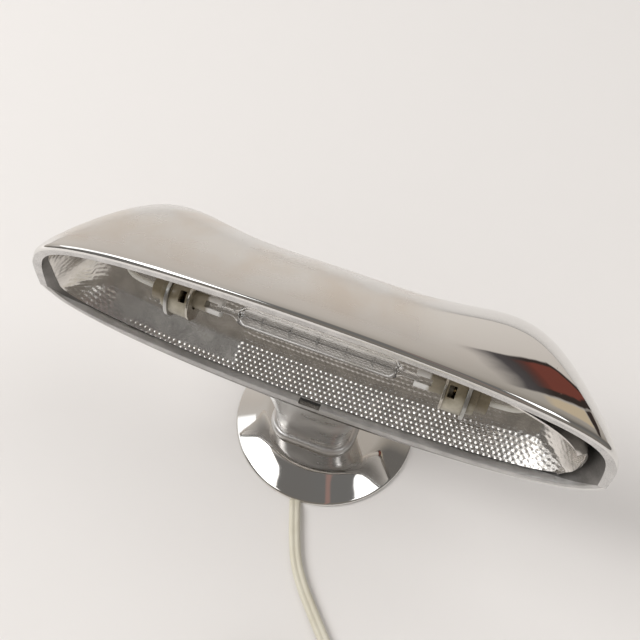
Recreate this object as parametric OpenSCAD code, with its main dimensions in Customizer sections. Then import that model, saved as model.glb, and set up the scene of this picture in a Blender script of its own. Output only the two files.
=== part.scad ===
// Swivelling wall lamp with a cast aluminium head and a linear lamp.
// Lengths are millimetres. The wall is the plane y = 0, the lamp reaches to -Y, +Z is up.
// The origin is the middle of the rose on the wall. The head is drawn level and then turned.

/* [Rose and wall bracket] */
// Outer diameter of the rose
rose_d = 92.5; // [84:0.5:120]
// Height of the rose off the wall
rose_h = 7; // [6.5:0.1:12]
// Sheet thickness of the rose
rose_wall = 1.3; // [0.8:0.1:2]
// Height of the rose's upright rim
rose_rim = 1.2; // [0.6:0.1:2]
// Diameter of the flat land in the middle of the rose
land_d = 42; // [40:0.5:50]
// Length of the wall bracket
bracket_l = 76; // [72:1:80]
// Width of the wall bracket
bracket_w = 18; // [14:1:24]
// Thickness of the wall bracket
bracket_t = 1.5; // [1:0.1:2]
// Length of the bracket's raised middle
bracket_mid = 36; // [30:1:38]
// Distance between the two wall screw slots
slot_pitch = 58; // [54:1:62]
// Width of a wall screw slot
slot_w = 4.5; // [4:0.1:5.5]
// Length of a wall screw slot
slot_l = 8; // [6:0.5:10]

/* [Swivel] */
// Outer diameter of the hollow centre tube
tube_d = 10; // [8:0.5:12]
// Bore of the centre tube
tube_bore = 8; // [6:0.1:8]
// Radial running clearance of the neck foot on the tube
run_gap = 0.05; // [0.02:0.01:0.1]
// Thickness of the friction washer
friction_t = 0.6; // [0.4:0.1:1.2]
// Diameter of the friction washer
friction_d = 17; // [15:0.5:17.5]
// Thickness of the plain washer
washer_t = 1; // [0.8:0.1:1.6]
// Height of the spring washer
spring_t = 1.6; // [1.2:0.1:2.4]
// Width across flats of the tube nuts
nut_af = 14; // [13:0.5:15]
// Height of the tube nut
nut_t = 3; // [2.5:0.1:4]
// Height of the lock nut
lock_t = 2.5; // [2:0.1:3]
// Tube end beyond the lock nut
tube_spare = 2; // [1:0.5:4]
// Angle that the head is turned to
head_turn = 21.1; // [-60:0.1:60]
// Swing of the head each way from level
swing = 60; // [30:1:65]
// Diameter of the stop pin
pin_d = 2.5; // [2:0.1:3]
// Distance of the stop pin from the swivel axis
pin_r = 10.6; // [10.4:0.1:11.2]
// Clearance of the stop pin in its slot
pin_gap = 0.3; // [0.2:0.05:0.5]

/* [Neck] */
// Width of the neck foot
foot_w = 44.4; // [42:0.1:50]
// Height of the neck foot
foot_h = 36; // [34:0.5:42]
// Thickness of the neck foot
foot_t = 3; // [2.5:0.1:4]
// Corner radius of the neck foot
foot_corner = 12.7; // [8:0.1:16]
// Distance from the swivel axis down to the middle of the foot
foot_drop = 3.5; // [2:0.1:5]
// Step from the foot's edge in to the neck
foot_step = 2.6; // [1.5:0.1:4]
// Wall of the neck casting
neck_wall = 2.5; // [2:0.1:3.5]
// Width of the neck where it meets the head
flare_w = 78; // [60:1:96]
// Height above the mouth of the flare's lower edge
flare_low = 3; // [2.5:0.5:8]
// Height above the mouth of the flare's upper edge
flare_top = 35; // [30:0.5:38]
// Distance between the two tie screws
tie_pitch = 24; // [22:0.5:26]
// Drop of the tie screws below the swivel axis
tie_drop = 12.5; // [11:0.5:13.5]
// Shank diameter of a tie screw
tie_d = 4; // [3:0.5:4]

/* [Head housing] */
// Half the length of the head
half_w = 126.8; // [110:0.1:140]
// Distance from the wall to the mouth's reference line
head_out = 127.9; // [120:0.1:140]
// Drop of the mouth's reference line below the swivel axis
head_drop = 29.1; // [26:0.1:32]
// Tilt of the mouth plane
mouth_tilt = 4; // [0:0.5:8]
// Sideways offset of the head from the swivel axis
head_side = 3.6; // [0:0.1:5]
// Forward bow of the front lip
lip_bow = 6.3; // [3:0.1:12]
// Distance from the reference line back to the rear rim
mouth_back = 75; // [70:0.1:80]
// Distance from the reference line back to the widest point
end_v = 44.5; // [40:0.1:50]
// Height of the crown in the middle
crown_h = 45; // [42:0.5:50]
// Extra height that feeds the two humps
hump_h = 29.5; // [20:0.5:32]
// Distance of each hump from the middle
hump_x = 93; // [85:1:100]
// Width of each hump
hump_w = 39; // [30:1:45]
// Width of the mouth rim
rim_w = 5.6; // [4:0.1:7]
// Radius of the rim's outer edge
rim_r = 2; // [1:0.1:3]
// Wall of the crown
crown_wall = 3; // [2.5:0.1:4]
// Diameter of a screw post in the crown
post_d = 9; // [8:0.5:11]
// Distance of each screw post from the middle
post_x = 30; // [24:1:36]
// Distance of the screw posts behind the reference line
post_v = 27; // [24:1:32]
// Wire hole in the back of the housing
wire_hole_d = 9; // [8:0.5:11]

/* [Reflector and lamp bracket] */
// Gap between the reflector's ends and the housing
refl_end_gap = 4.7; // [3.5:0.1:9]
// Sheet thickness of the reflector
refl_t = 1; // [0.8:0.1:1.4]
// Height of the reflector's edge above the mouth
refl_edge = 3.4; // [2.5:0.1:5]
// Gap between the reflector's edge and the housing
refl_gap = 0.4; // [0.3:0.1:1]
// Height of the reflector's bend
refl_bend = 16; // [13:0.5:18]
// Distance of the bend in from the rear edge
refl_bend_in = 6.9; // [6:0.1:9]
// Distance of the flat top in from the rear edge
refl_top_in = 22; // [20:0.5:24]
// Reach of the reflector's front curve
refl_front = 20; // [18:0.5:21]
// Height of the reflector's top
refl_top = 27.5; // [26.5:0.1:28]
// Length of the sloping end panels
refl_end = 26; // [24:1:30]
// Thickness of the lamp bracket
lbr_t = 1.5; // [1:0.1:1.5]
// Width of the lamp bracket's strip
lbr_w = 20; // [18:1:24]
// Size of the screws through the lamp bracket
lbr_screw_d = 4; // [3:0.5:4]

/* [Lamp and holders] */
// Distance of the lamp axis behind the reference line
lamp_v = 32.4; // [31:0.1:33.5]
// Height of the lamp axis above the mouth
lamp_n = 12.6; // [12:0.1:13]
// Distance between the lamp's end contacts
contact_span = 114.2; // [112:0.1:116]
// Length of the lamp's round bulb
bulb_l = 73; // [70:0.5:76]
// Diameter of the bulb
bulb_d = 9; // [8:0.1:10]
// Diameter of the lamp's ceramic caps
cap_d = 7.6; // [7:0.1:8]
// Length of the ceramic caps
cap_l = 16; // [14:0.5:17]
// Depth of the contacts inside the caps
cap_recess = 1.6; // [1:0.1:2]
// Diameter of the ceramic holder
holder_d = 18; // [17:0.1:19]
// Length of the ceramic holder
holder_l = 8; // [7.8:0.1:9]
// Radial clearance of the lamp cap in the holder
cap_gap = 0.6; // [0.4:0.1:0.8]
// Diameter of the holder's front flange
flange_d = 19.2; // [18:0.1:20]
// Thickness of the holder's front flange
flange_t = 1.2; // [1:0.1:1.5]
// Diameter of the bracket's round ears
ear_d = 20.8; // [20:0.1:21.2]
// Diameter of the holder's rear block
rear_d = 10.8; // [10:0.1:12]
// Length of the holder's rear block
rear_l = 8; // [8:0.5:9]
// Diameter of the contact plunger's nose
nose_d = 3; // [2.5:0.1:3.4]
// Travel of a contact plunger
plunge = 2.5; // [1.5:0.1:2.5]
// Diameter of the white sleeved leads
lead_d = 2.6; // [2:0.1:3]

/* [Supply cord] */
// Width of the flat twin cord
cord_w = 5.4; // [5:0.1:5.8]
// Thickness of the flat twin cord
cord_t = 3.2; // [2.8:0.1:3.4]
// Radius of the coil's innermost turn
coil_in = 22.5; // [22:0.5:26]
// Step from turn to turn of one layer of the coil
coil_step = 4.9; // [4.9:0.1:5.4]
// Turns of the coil, in two layers
coil_turns = 8; // [6:2:10]
// Thickness of the tie round the coil
tie_t = 1; // [0.8:0.1:1.4]
// Width of the tie
tie_w = 3.6; // [2.5:0.1:5]
// Diameter of a plug pin
plug_pin_d = 4; // [3.5:0.1:4.5]
// Distance between the plug pins
plug_pitch = 19; // [17:0.5:19]
// Length of the plug pins
plug_pin_l = 19; // [15:0.5:20]

/* [Hidden] */
$fn = 48;

// Gaps of parts that rub, of parts that are pressed together, and of the neck on the housing
seat = 0.1;
hair = 0.05;
skin_gap = 0.2;

// Heights along -Y, counted from the wall
land_y = rose_h;
bracket_front = rose_h - rose_wall - seat;
bracket_back = bracket_front - bracket_t;
friction_y = land_y;
foot_back = friction_y + friction_t;
foot_front = foot_back + foot_t;
washer_y = foot_front;
spring_y = washer_y + washer_t;
nut_y = spring_y + spring_t;
lock_y = nut_y + nut_t;
tube_front = lock_y + lock_t + tube_spare;

// Skin stations
stations = 40;
arcs = 22;

// Places along the lamp axis
cap_out = contact_span / 2 + cap_recess;
cap_in = cap_out - cap_l;
fork_l = 7;
pinch_t = 2.5;
flange_x = cap_out - 4;
holder_x = flange_x + flange_t;
ear_x = holder_x + holder_l;
rear_x = ear_x + lbr_t;
cap_bore = cap_d + 2 * cap_gap;
guide_x = cap_out + 1.5;
guide_t = 1.2;
chamber_d = 7;
chamber_x = guide_x + guide_t;
collar_d = 6;
collar_t = 1.2;
collar_x = chamber_x + 0.4;
stem_d = 2.4;
rear_wall = 1.5;
chamber_end = rear_x + rear_l - rear_wall;
spring_wire = 0.7;
spring_turns = 4.5;

// Half the length of the reflector, and its holes for the leads
refl_half = half_w - rim_w - refl_end_gap;
lead_hole_x = refl_half - 23.5;
lead_hole_v = 34;
lead_hole_d = 6;

// Heights above the mouth behind the reflector
lbr_n = refl_top + refl_t + 0.3;
lbr_top = lbr_n + lbr_t;
term_l = 22;
term_w = 13;
term_h = 8;
term_front = lamp_v - term_w / 2;
pole_x = 5;
wire_n = lbr_top + hair + 3.6;
screw_head_d = 7.6;
screw_head_t = 2.4;

// Mouth outline and crown, in the head's own coordinates
function fall(x, p) = max(0, 1 - pow(abs(x) / half_w, p));
function front_v(x) = end_v - (end_v + lip_bow) * pow(fall(x, 2), 0.211);
function back_v(x) = end_v + (mouth_back - end_v) * pow(fall(x, 1.81), 0.4255);
function mid_v(x) = (front_v(x) + back_v(x)) / 2;
function half_v(x) = (back_v(x) - front_v(x)) / 2;
function hump(x) = hump_h * exp(-pow((abs(x) - hump_x) / hump_w, 2));
function crown(x) = (crown_h + hump(x)) * pow(fall(x, 2), 0.695);
function station(i) =
  let(u = 2 * i / stations - 1) half_w * sin(90 * sign(u) * (1 - pow(1 - abs(u), 1.25)));

// Scale of the inner skin against the outer one
in_x = (half_w - rim_w) / half_w;
in_v = (half_v(0) - rim_w) / half_v(0);
in_n = (crown_h - crown_wall) / crown_h;

// One outer section, with the rim's edge rounded by r, and one inner section
function edge_r(x) = min(rim_r, crown(x) * 0.3, half_v(x) * 0.3);
function outer_row(x) =
  let(m = mid_v(x), c = half_v(x), h = crown(x), r = edge_r(x), t0 = asin(r / h))
  concat(
    [[x, m - c + r, 0], [x, m - c + r * 0.3, r * 0.3]],
    [for (j = [0:arcs]) let(t = t0 + (180 - 2 * t0) * j / arcs) [x, m - c * cos(t), h * sin(t)]],
    [[x, m + c - r * 0.3, r * 0.3], [x, m + c - r, 0]]);
function inner_row(x) =
  let(m = mid_v(x), c = half_v(x) * in_v, h = crown(x) * in_n, n = arcs + 4)
  [for (j = [0:n]) let(t = 180 * j / n) [x * in_x, m - c * cos(t), h * sin(t)]];

// Height of the inner skin above a point of the mouth plane
function inner_n(x, v) =
  let(xo = x / in_x)
  crown(xo) * in_n * sqrt(max(0, 1 - pow((v - mid_v(xo)) / (half_v(xo) * in_v), 2)));
// Distance back to the outer skin at a height above the mouth plane
function outer_v(x, n) = mid_v(x) + half_v(x) * sqrt(max(0, 1 - pow(n / crown(x), 2)));

// From the head's own coordinates to the swivel's
function to_swivel(p) = [
  p[0] - head_side,
  -head_out + p[1] * cos(mouth_tilt) - p[2] * sin(mouth_tilt),
  -head_drop + p[1] * sin(mouth_tilt) + p[2] * cos(mouth_tilt)];
module in_swivel() rotate([0, head_turn, 0]) children();
module in_head()
  in_swivel() translate([-head_side, -head_out, -head_drop]) rotate([mouth_tilt, 0, 0]) children();
// A solid of revolution or extrusion that starts at y and grows towards the room
module off_wall(y) translate([0, -y, 0]) rotate([90, 0, 0]) children();
// A solid that grows along +X from x, centred on the lamp axis
module on_lamp(x) translate([x, lamp_v, lamp_n]) rotate([0, 90, 0]) children();
module both_ends() for (s = [0, 1]) mirror([s, 0, 0]) children();

// Two grids of points, joined along their four edges into a closed sheet
module sheet(outer, inner) {
  n = len(outer);
  m = len(outer[0]);
  pts = concat([for (r = outer) each r], [for (r = inner) each r]);
  function o(i, j) = i * m + j;
  function q(i, j) = n * m + i * m + j;
  skin = [for (i = [0:n - 2]) for (j = [0:m - 2]) each [
    [o(i, j), o(i, j + 1), o(i + 1, j + 1)], [o(i, j), o(i + 1, j + 1), o(i + 1, j)],
    [q(i, j), q(i + 1, j + 1), q(i, j + 1)], [q(i, j), q(i + 1, j), q(i + 1, j + 1)]]];
  sides = [for (i = [0:n - 2]) each [
    [o(i, 0), o(i + 1, 0), q(i + 1, 0)], [o(i, 0), q(i + 1, 0), q(i, 0)],
    [o(i + 1, m - 1), o(i, m - 1), q(i, m - 1)], [o(i + 1, m - 1), q(i, m - 1), q(i + 1, m - 1)]]];
  ends = [for (j = [0:m - 2]) each [
    [o(0, j + 1), o(0, j), q(0, j)], [o(0, j + 1), q(0, j), q(0, j + 1)],
    [o(n - 1, j), o(n - 1, j + 1), q(n - 1, j + 1)], [o(n - 1, j), q(n - 1, j + 1), q(n - 1, j)]]];
  polyhedron(pts, concat(skin, sides, ends), convexity = 6);
}

// Like sheet, but each grid closes to one point at either end
module pod(outer, inner, outer_tip, inner_tip) {
  n = len(outer);
  m = len(outer[0]);
  e = m - 1;
  a = 2 * n * m;
  flip = [-1, 1, 1];
  pts = concat([for (r = outer) each r], [for (r = inner) each r],
    [[for (k = [0:2]) outer_tip[k] * flip[k]], outer_tip,
     [for (k = [0:2]) inner_tip[k] * flip[k]], inner_tip]);
  function o(i, j) = i * m + j;
  function q(i, j) = n * m + i * m + j;
  skin = [for (i = [0:n - 2]) for (j = [0:m - 2]) each [
    [o(i, j), o(i, j + 1), o(i + 1, j + 1)], [o(i, j), o(i + 1, j + 1), o(i + 1, j)],
    [q(i, j), q(i + 1, j + 1), q(i, j + 1)], [q(i, j), q(i + 1, j), q(i + 1, j + 1)]]];
  fans = [for (j = [0:m - 2]) each [
    [a, o(0, j + 1), o(0, j)], [a + 1, o(n - 1, j), o(n - 1, j + 1)],
    [a + 2, q(0, j), q(0, j + 1)], [a + 3, q(n - 1, j + 1), q(n - 1, j)]]];
  sides = [for (i = [0:n - 2]) each [
    [o(i, 0), o(i + 1, 0), q(i + 1, 0)], [o(i, 0), q(i + 1, 0), q(i, 0)],
    [o(i + 1, e), o(i, e), q(i, e)], [o(i + 1, e), q(i, e), q(i + 1, e)]]];
  tips = [
    [a, o(0, 0), q(0, 0)], [a, q(0, 0), a + 2], [o(0, e), a, a + 2], [o(0, e), a + 2, q(0, e)],
    [o(n - 1, 0), a + 1, a + 3], [o(n - 1, 0), a + 3, q(n - 1, 0)],
    [a + 1, o(n - 1, e), q(n - 1, e)], [a + 1, q(n - 1, e), a + 3]];
  polyhedron(pts, concat(skin, fans, sides, tips), convexity = 6);
}

// Closed loops of points, one outside the other, joined into an open-ended pipe
module pipe(outer, inner) {
  n = len(outer);
  m = len(outer[0]);
  pts = concat([for (r = outer) each r], [for (r = inner) each r]);
  function o(i, j) = i * m + (j + m) % m;
  function q(i, j) = n * m + i * m + (j + m) % m;
  walls = [for (i = [0:n - 2]) for (j = [0:m - 1]) each [
    [o(i, j), o(i + 1, j + 1), o(i, j + 1)], [o(i, j), o(i + 1, j), o(i + 1, j + 1)],
    [q(i, j), q(i, j + 1), q(i + 1, j + 1)], [q(i, j), q(i + 1, j + 1), q(i + 1, j)]]];
  rims = [for (j = [0:m - 1]) each [
    [o(0, j), o(0, j + 1), q(0, j + 1)], [o(0, j), q(0, j + 1), q(0, j)],
    [o(n - 1, j + 1), o(n - 1, j), q(n - 1, j)], [o(n - 1, j + 1), q(n - 1, j), q(n - 1, j + 1)]]];
  polyhedron(pts, concat(walls, rims), convexity = 6);
}

// An oval tube along a route. The width of its section lies along the vectors in across.
function unit(v) = v / norm(v);
function slope(p, i) = unit(p[min(i + 1, len(p) - 1)] - p[max(i - 1, 0)]);
module tube(route, across, w, t, sides) {
  n = len(route);
  rings = [for (i = [0:n - 1])
    let(d = slope(route, i), b = unit(cross(d, across[i])), a = cross(b, d))
    [for (k = [0:sides - 1]) let(g = 360 * (k + 0.5) / sides)
      route[i] + a * (w / 2) * cos(g) + b * (t / 2) * sin(g)]];
  walls = [for (i = [0:n - 2]) for (k = [0:sides - 1])
    let(l = (k + 1) % sides, p = i * sides, q = (i + 1) * sides)
    each [[p + k, q + l, p + l], [p + k, q + k, q + l]]];
  caps = [for (k = [1:sides - 2]) each [
    [0, k, k + 1], [(n - 1) * sides, (n - 1) * sides + k + 1, (n - 1) * sides + k]]];
  polyhedron([for (r = rings) each r], concat(walls, caps), convexity = 10);
}

// Rose and wall bracket

rose_steps = 12;
function rose_y(u) = rose_rim + (rose_h - rose_rim) * pow(1 - u * u, 0.8);
function rose_r(u) = (land_d + (rose_d - land_d) * u) / 2;

module rose() {
  outer = [for (k = [0:rose_steps]) let(u = k / rose_steps) [rose_r(u), rose_y(u)]];
  inner = [for (k = [rose_steps - 1:-1:0]) let(u = k / rose_steps)
    [rose_r(u) - rose_wall * u, rose_y(u) - rose_wall]];
  profile = concat(
    [[tube_d / 2 + hair, rose_h - rose_wall], [tube_d / 2 + hair, rose_h]], outer,
    [[rose_d / 2, 0], [rose_d / 2 - rose_wall, 0]], inner);
  color("gainsboro") difference() {
    rotate([90, 0, 0]) rotate_extrude($fn = 96) polygon(profile);
    off_wall(0) translate([0, pin_r, 0]) cylinder(d = pin_d + 2 * hair, h = rose_h + 1);
    translate([cord_x - cord_w / 2 - notch_gap, -cord_t - notch_gap, -rose_d / 2 - 1])
      cube([cord_w + 2 * notch_gap, cord_t + notch_gap + 1, notch_l + 1]);
  }
}

module wall_slot(x) {
  for (e = [-1, 1]) translate([x + e * (slot_l - slot_w) / 2, 1, 0]) rotate([90, 0, 0])
    cylinder(d = slot_w, h = bracket_t + 2);
  translate([x - (slot_l - slot_w) / 2, -bracket_t - 1, -slot_w / 2])
    cube([slot_l - slot_w, bracket_t + 2, slot_w]);
}

module wall_bracket() {
  color("silver") difference() {
    union() {
      translate([-bracket_mid / 2, -bracket_front, -bracket_w / 2])
        cube([bracket_mid, bracket_t, bracket_w]);
      translate([clamp_x - clamp_l / 2, -bracket_front, -bracket_w / 2 - tab_l])
        cube([clamp_l, bracket_t, tab_l + 1]);
      both_ends() {
        translate([bracket_mid / 2 - bracket_t, -bracket_front, -bracket_w / 2])
          cube([bracket_t, bracket_front, bracket_w]);
        translate([bracket_mid / 2 - bracket_t, -bracket_t, -bracket_w / 2])
          cube([(bracket_l - bracket_mid) / 2 + bracket_t, bracket_t, bracket_w]);
      }
    }
    off_wall(0) cylinder(d = tube_d + 2 * hair, h = rose_h);
    both_ends() wall_slot(slot_pitch / 2);
    clamp_holes(rose_h);
  }
}

module centre_tube()
  color("goldenrod") off_wall(bracket_back) difference() {
    cylinder(d = tube_d, h = tube_front - bracket_back);
    translate([0, 0, -1]) cylinder(d = tube_bore, h = tube_front - bracket_back + 2);
  }

module stop_pin()
  color("silver") off_wall(bracket_front + hair) translate([0, pin_r, 0])
    cylinder(d = pin_d, h = foot_front - bracket_front - 1);

module ring(od, id, t) difference() {
  cylinder(d = od, h = t);
  translate([0, 0, -1]) cylinder(d = id, h = t + 2);
}

washer_bore = tube_d + 0.4;
module friction_washer()
  color("dimgray") off_wall(friction_y) ring(friction_d, washer_bore, friction_t - seat);

module plain_washer()
  color("silver") off_wall(washer_y + seat) ring(nut_af + 1, washer_bore, washer_t - seat);

module spring_washer()
  color("dimgray") off_wall(spring_y) difference() {
    ring(nut_af, washer_bore, spring_t);
    rotate([0, 0, 60]) translate([0, -0.6, -1]) cube([nut_af, 1.2, spring_t + 2]);
  }

module hex_nut(y, t)
  off_wall(y) difference() {
    cylinder(d = nut_af / cos(30), h = t - hair, $fn = 6);
    translate([0, 0, -1]) cylinder(d = tube_d + 2 * hair, h = t + 2);
  }
module tube_nut() color("goldenrod") hex_nut(nut_y, nut_t);
module lock_nut() color("goldenrod") hex_nut(lock_y, lock_t);

// Cord clamp and the cord under the rose

clamp_x = -3;
clamp_l = 16;
clamp_t = 0.9;
clamp_h = 5;
clamp_pitch = 11;
clamp_screw_d = 2.5;
tab_l = 11;
clamp_z = -bracket_w / 2 - tab_l / 2;
module clamp_holes(h)
  for (s = [-1, 1]) translate([clamp_x + s * clamp_pitch / 2, 1, clamp_z]) rotate([90, 0, 0])
    cylinder(d = clamp_screw_d + 2 * hair, h = h + 1);

module cord_clamp()
  color("ivory") difference() {
    translate([clamp_x - clamp_l / 2, -clamp_t - hair, clamp_z - clamp_h / 2])
      cube([clamp_l, clamp_t, clamp_h]);
    clamp_holes(rose_h);
  }

module clamp_screws()
  color("silver") for (s = [-1, 1]) translate([clamp_x + s * clamp_pitch / 2, 0, clamp_z])
    off_wall(seat) cylinder(d = clamp_screw_d, h = bracket_front - 2 * seat);

// The cord lies on the wall at cord_x and turns into the tube on a quarter circle
cord_x = -15.1;
cord_y = cord_t / 2 + hair;
notch_gap = 0.4;
notch_l = 12;
rim_z = -sqrt(pow(rose_d / 2, 2) - cord_x * cord_x);
clamp_y = (clamp_t + hair + bracket_back) / 2;
turn_r = 5;
inner_route = concat(
  [[cord_x, -cord_y, rim_z + 0.2], [cord_x, -cord_y, -36], [-14.4, -1.8, -30],
   [-11.4, -2.1, -25], [-7.2, -2.4, -21], [-4.3, -clamp_y, -17.5], [-3, -clamp_y, -14.5],
   [-1.6, -clamp_y, -11], [-0.5, -clamp_y, -8]],
  [for (a = [0:15:90]) [0, -clamp_y - turn_r * (1 - cos(a)), turn_r * (sin(a) - 1)]],
  [[0, -tube_front - 0.2, 0]]);
module inner_cord()
  color("beige") tube(inner_route, [for (p = inner_route) [1, 0, 0]], cord_w, cord_t, 8);

// Neck foot, neck and tie screws

module rounded(w, h, r) {
  square([w - 2 * r, h], center = true);
  square([w, h - 2 * r], center = true);
  for (x = [-1, 1]) for (y = [-1, 1])
    translate([x * (w / 2 - r), y * (h / 2 - r)]) circle(r = r, $fn = 64);
}
module tie_places()
  for (s = [-1, 1]) translate([s * tie_pitch / 2 - head_side, -tie_drop, 0]) children();

tie_head_d = 7;
tie_head_t = 1.6;
module pin_slot(h) {
  w = pin_d + 2 * pin_gap;
  rotate([0, 0, 90 - swing]) rotate_extrude(angle = 2 * swing, $fn = 96)
    translate([pin_r - w / 2, 0]) square([w, h]);
  for (s = [-1, 1]) rotate([0, 0, 90 + s * swing]) translate([pin_r, 0, 0])
    cylinder(d = w, h = h);
}

module neck_foot()
  color("whitesmoke") in_swivel() off_wall(foot_back) difference() {
    linear_extrude(foot_t) translate([-head_side, -foot_drop]) rounded(foot_w, foot_h, foot_corner);
    translate([0, 0, -1]) cylinder(r = tube_d / 2 + run_gap, h = foot_t + 2);
    translate([0, 0, -1]) pin_slot(foot_t + 2);
    tie_places() {
      translate([0, 0, -1]) cylinder(d = tie_d + 2 * hair, h = foot_t + 2);
      translate([0, 0, -1]) cylinder(d = tie_head_d + 0.4, h = tie_head_t + 0.2 + 1);
    }
  }

around = 36;
neck_steps = 9;
function oblong(w, h, r) = [for (k = [0:around - 1])
  let(g = 360 * (k + 0.5) / around)
  [sign(cos(g)) * (w / 2 - r) + r * cos(g), sign(sin(g)) * (h / 2 - r) + r * sin(g)]];
function foot_loop(inset) =
  [for (p = oblong(foot_w - 2 * inset, foot_h - 2 * inset, foot_corner - inset))
    [p[0] - head_side, -foot_front - hair, p[1] - foot_drop]];
function flare_loop(inset) = [for (k = [0:around - 1])
  let(g = 360 * (k + 0.5) / around,
    x = (flare_w / 2 - inset) * cos(g),
    n = (flare_top + flare_low) / 2 + ((flare_top - flare_low) / 2 - inset) * sin(g))
  to_swivel([x, outer_v(x, n) + skin_gap, n])];
function neck_loops(from, to) = [for (i = [0:neck_steps])
  let(s = i / neck_steps, g = pow(s, 2.2))
  [for (k = [0:around - 1]) [
    from[k][0] + (to[k][0] - from[k][0]) * g,
    from[k][1] + (to[k][1] - from[k][1]) * s,
    from[k][2] + (to[k][2] - from[k][2]) * g]]];

module neck()
  color("whitesmoke") in_swivel() pipe(
    neck_loops(foot_loop(foot_step), flare_loop(0)),
    neck_loops(foot_loop(foot_step + neck_wall), flare_loop(neck_wall + 1)));

// The tie screws end just inside the housing's inner skin
tie_n = (head_drop - tie_drop - mouth_back * sin(mouth_tilt)) / cos(mouth_tilt);
tie_v = mid_v(0) + half_v(0) * in_v * sqrt(1 - pow(tie_n / (crown_h * in_n), 2));
tie_end = -to_swivel([tie_pitch / 2, tie_v, tie_n])[1] - 0.8;
module tie_screws()
  color("silver") in_swivel() off_wall(foot_back + seat) tie_places() {
    cylinder(d = tie_head_d, h = tie_head_t);
    cylinder(d = tie_d, h = tie_end - foot_back - seat);
  }

// Head housing

drill_reach = 10;
module post_places() both_ends() translate([post_x, post_v, 0]) children();

module head_housing() {
  rows = [for (i = [1:stations - 1]) station(i)];
  color("whitesmoke") difference() {
    union() {
      in_head() pod([for (x = rows) outer_row(x)], [for (x = rows) inner_row(x)],
        [half_w, end_v, 0], [half_w * in_x, end_v, 0]);
      in_head() post_places() translate([0, 0, lbr_top])
        cylinder(d = post_d, h = inner_n(post_x, post_v) + 1 - lbr_top);
    }
    in_head() post_places() translate([0, 0, lbr_top - 1])
      cylinder(d = lbr_screw_d + 2 * hair, h = 10);
    in_swivel() off_wall(head_out - mouth_back - drill_reach) {
      cylinder(d = wire_hole_d, h = 3 * drill_reach);
      tie_places() cylinder(d = tie_d + 2 * hair, h = 3 * drill_reach);
    }
  }
}

// Reflector

// Half the room inside the housing at a height, less the sheet and its gap
function room(x, n) =
  let(xo = x / in_x)
  half_v(xo) * in_v * sqrt(max(0, 1 - pow(n / (crown(xo) * in_n), 2))) - refl_gap - refl_t;
function refl_mid(x) = mid_v(x / in_x);
// Distance in from the edge: the sheet's own curve a, and the skin's where that comes in sooner
function inset(x, a, n) = pow(pow(a, 4) + pow(room(x, 0) - room(x, n), 4), 0.25);
function corner(a, b, c, r) =
  let(p = b + unit(a - b) * r, q = b + unit(c - b) * r)
  [for (t = [0:0.25:1]) p * (1 - t) * (1 - t) + b * 2 * t * (1 - t) + q * t * t];
refl_rise = refl_top - refl_edge;
refl_nose = [for (k = [0:7]) let(g = 90 * k / 7)
  [refl_front * (1 - cos(g)), refl_edge + refl_rise * sin(g)]];
refl_rear = concat(
  corner([refl_top_in + 8, refl_top], [refl_top_in, refl_top], [refl_bend_in, refl_bend], 5),
  corner([refl_top_in, refl_top], [refl_bend_in, refl_bend], [0, refl_edge], 2.5),
  [[0, refl_edge]]);
function refl_lift(x) =
  abs(x) < refl_half - refl_end ? 1
  : 1 - pow((abs(x) - refl_half + refl_end) / refl_end, 1.5);
function refl_row(x) =
  let(w = room(x, 0) / room(0, 0), e = refl_lift(x))
  concat(
    [for (p = refl_nose) let(n = refl_edge + (p[1] - refl_edge) * e)
      [x, refl_mid(x) - room(x, 0) + inset(x, p[0] * w, n), n]],
    [for (p = refl_rear) let(n = refl_edge + (p[1] - refl_edge) * e)
      [x, refl_mid(x) + room(x, 0) - inset(x, p[0] * w, n), n]]);
function skin_row(row, t) = [for (j = [0:len(row) - 1])
  let(d = slope(row, j)) row[j] + [0, -d[2], d[1]] * t];

refl_rows = 14;
function refl_x(i) = sign(i) * refl_half * (1 - pow(1 - abs(i) / refl_rows, 1.6));
module reflector() {
  under = [for (i = [-refl_rows:refl_rows]) refl_row(refl_x(i))];
  color("gainsboro") in_head() difference() {
    sheet([for (r = under) skin_row(r, refl_t)], under);
    both_ends() {
      translate([ear_x - 0.6, lamp_v - ear_d / 2 - 0.6, refl_top - 3])
        cube([lbr_t + 1.2, ear_d + 1.2, 8]);
      translate([lead_hole_x, lead_hole_v, refl_top - 6]) cylinder(d = lead_hole_d, h = 10);
      translate([post_x, post_v, refl_top - 3]) cylinder(d = lbr_screw_d + 0.4, h = 8);
    }
  }
}

// Lamp bracket and its screws

module lamp_bracket()
  color("silver") in_head() difference() {
    union() {
      translate([-rear_x, lamp_v - lbr_w / 2, lbr_n]) cube([2 * rear_x, lbr_w, lbr_t]);
      both_ends() {
        on_lamp(ear_x) cylinder(d = ear_d, h = lbr_t);
        translate([ear_x, lamp_v - lbr_w / 2, lamp_n + ear_d / 4])
          cube([lbr_t, lbr_w, lbr_n + lbr_t - lamp_n - ear_d / 4]);
      }
    }
    both_ends() on_lamp(ear_x - 1) cylinder(d = neck_d + 2 * hair, h = lbr_t + 2);
    post_places() translate([0, 0, lbr_n - 1]) cylinder(d = lbr_screw_d + 2 * hair, h = lbr_t + 2);
    translate([0, lamp_v, lbr_n - 1]) cylinder(d = fix_d + 2 * hair, h = lbr_t + 2);
  }

module bracket_screws()
  color("silver") in_head() post_places() {
    translate([0, 0, refl_top - seat - screw_head_t]) cylinder(d = screw_head_d, h = screw_head_t);
    translate([0, 0, refl_top - seat - 0.5]) cylinder(d = lbr_screw_d, h = lbr_top + 8 - refl_top);
  }

// Lamp holders, made for the right side

neck_d = 9.6;
stage_d = 15;
stage_l = 3;
lead_bore = lead_d + 0.3;
window_l = 3;
window_w = 5;
lamp_roll = 33;

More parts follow.
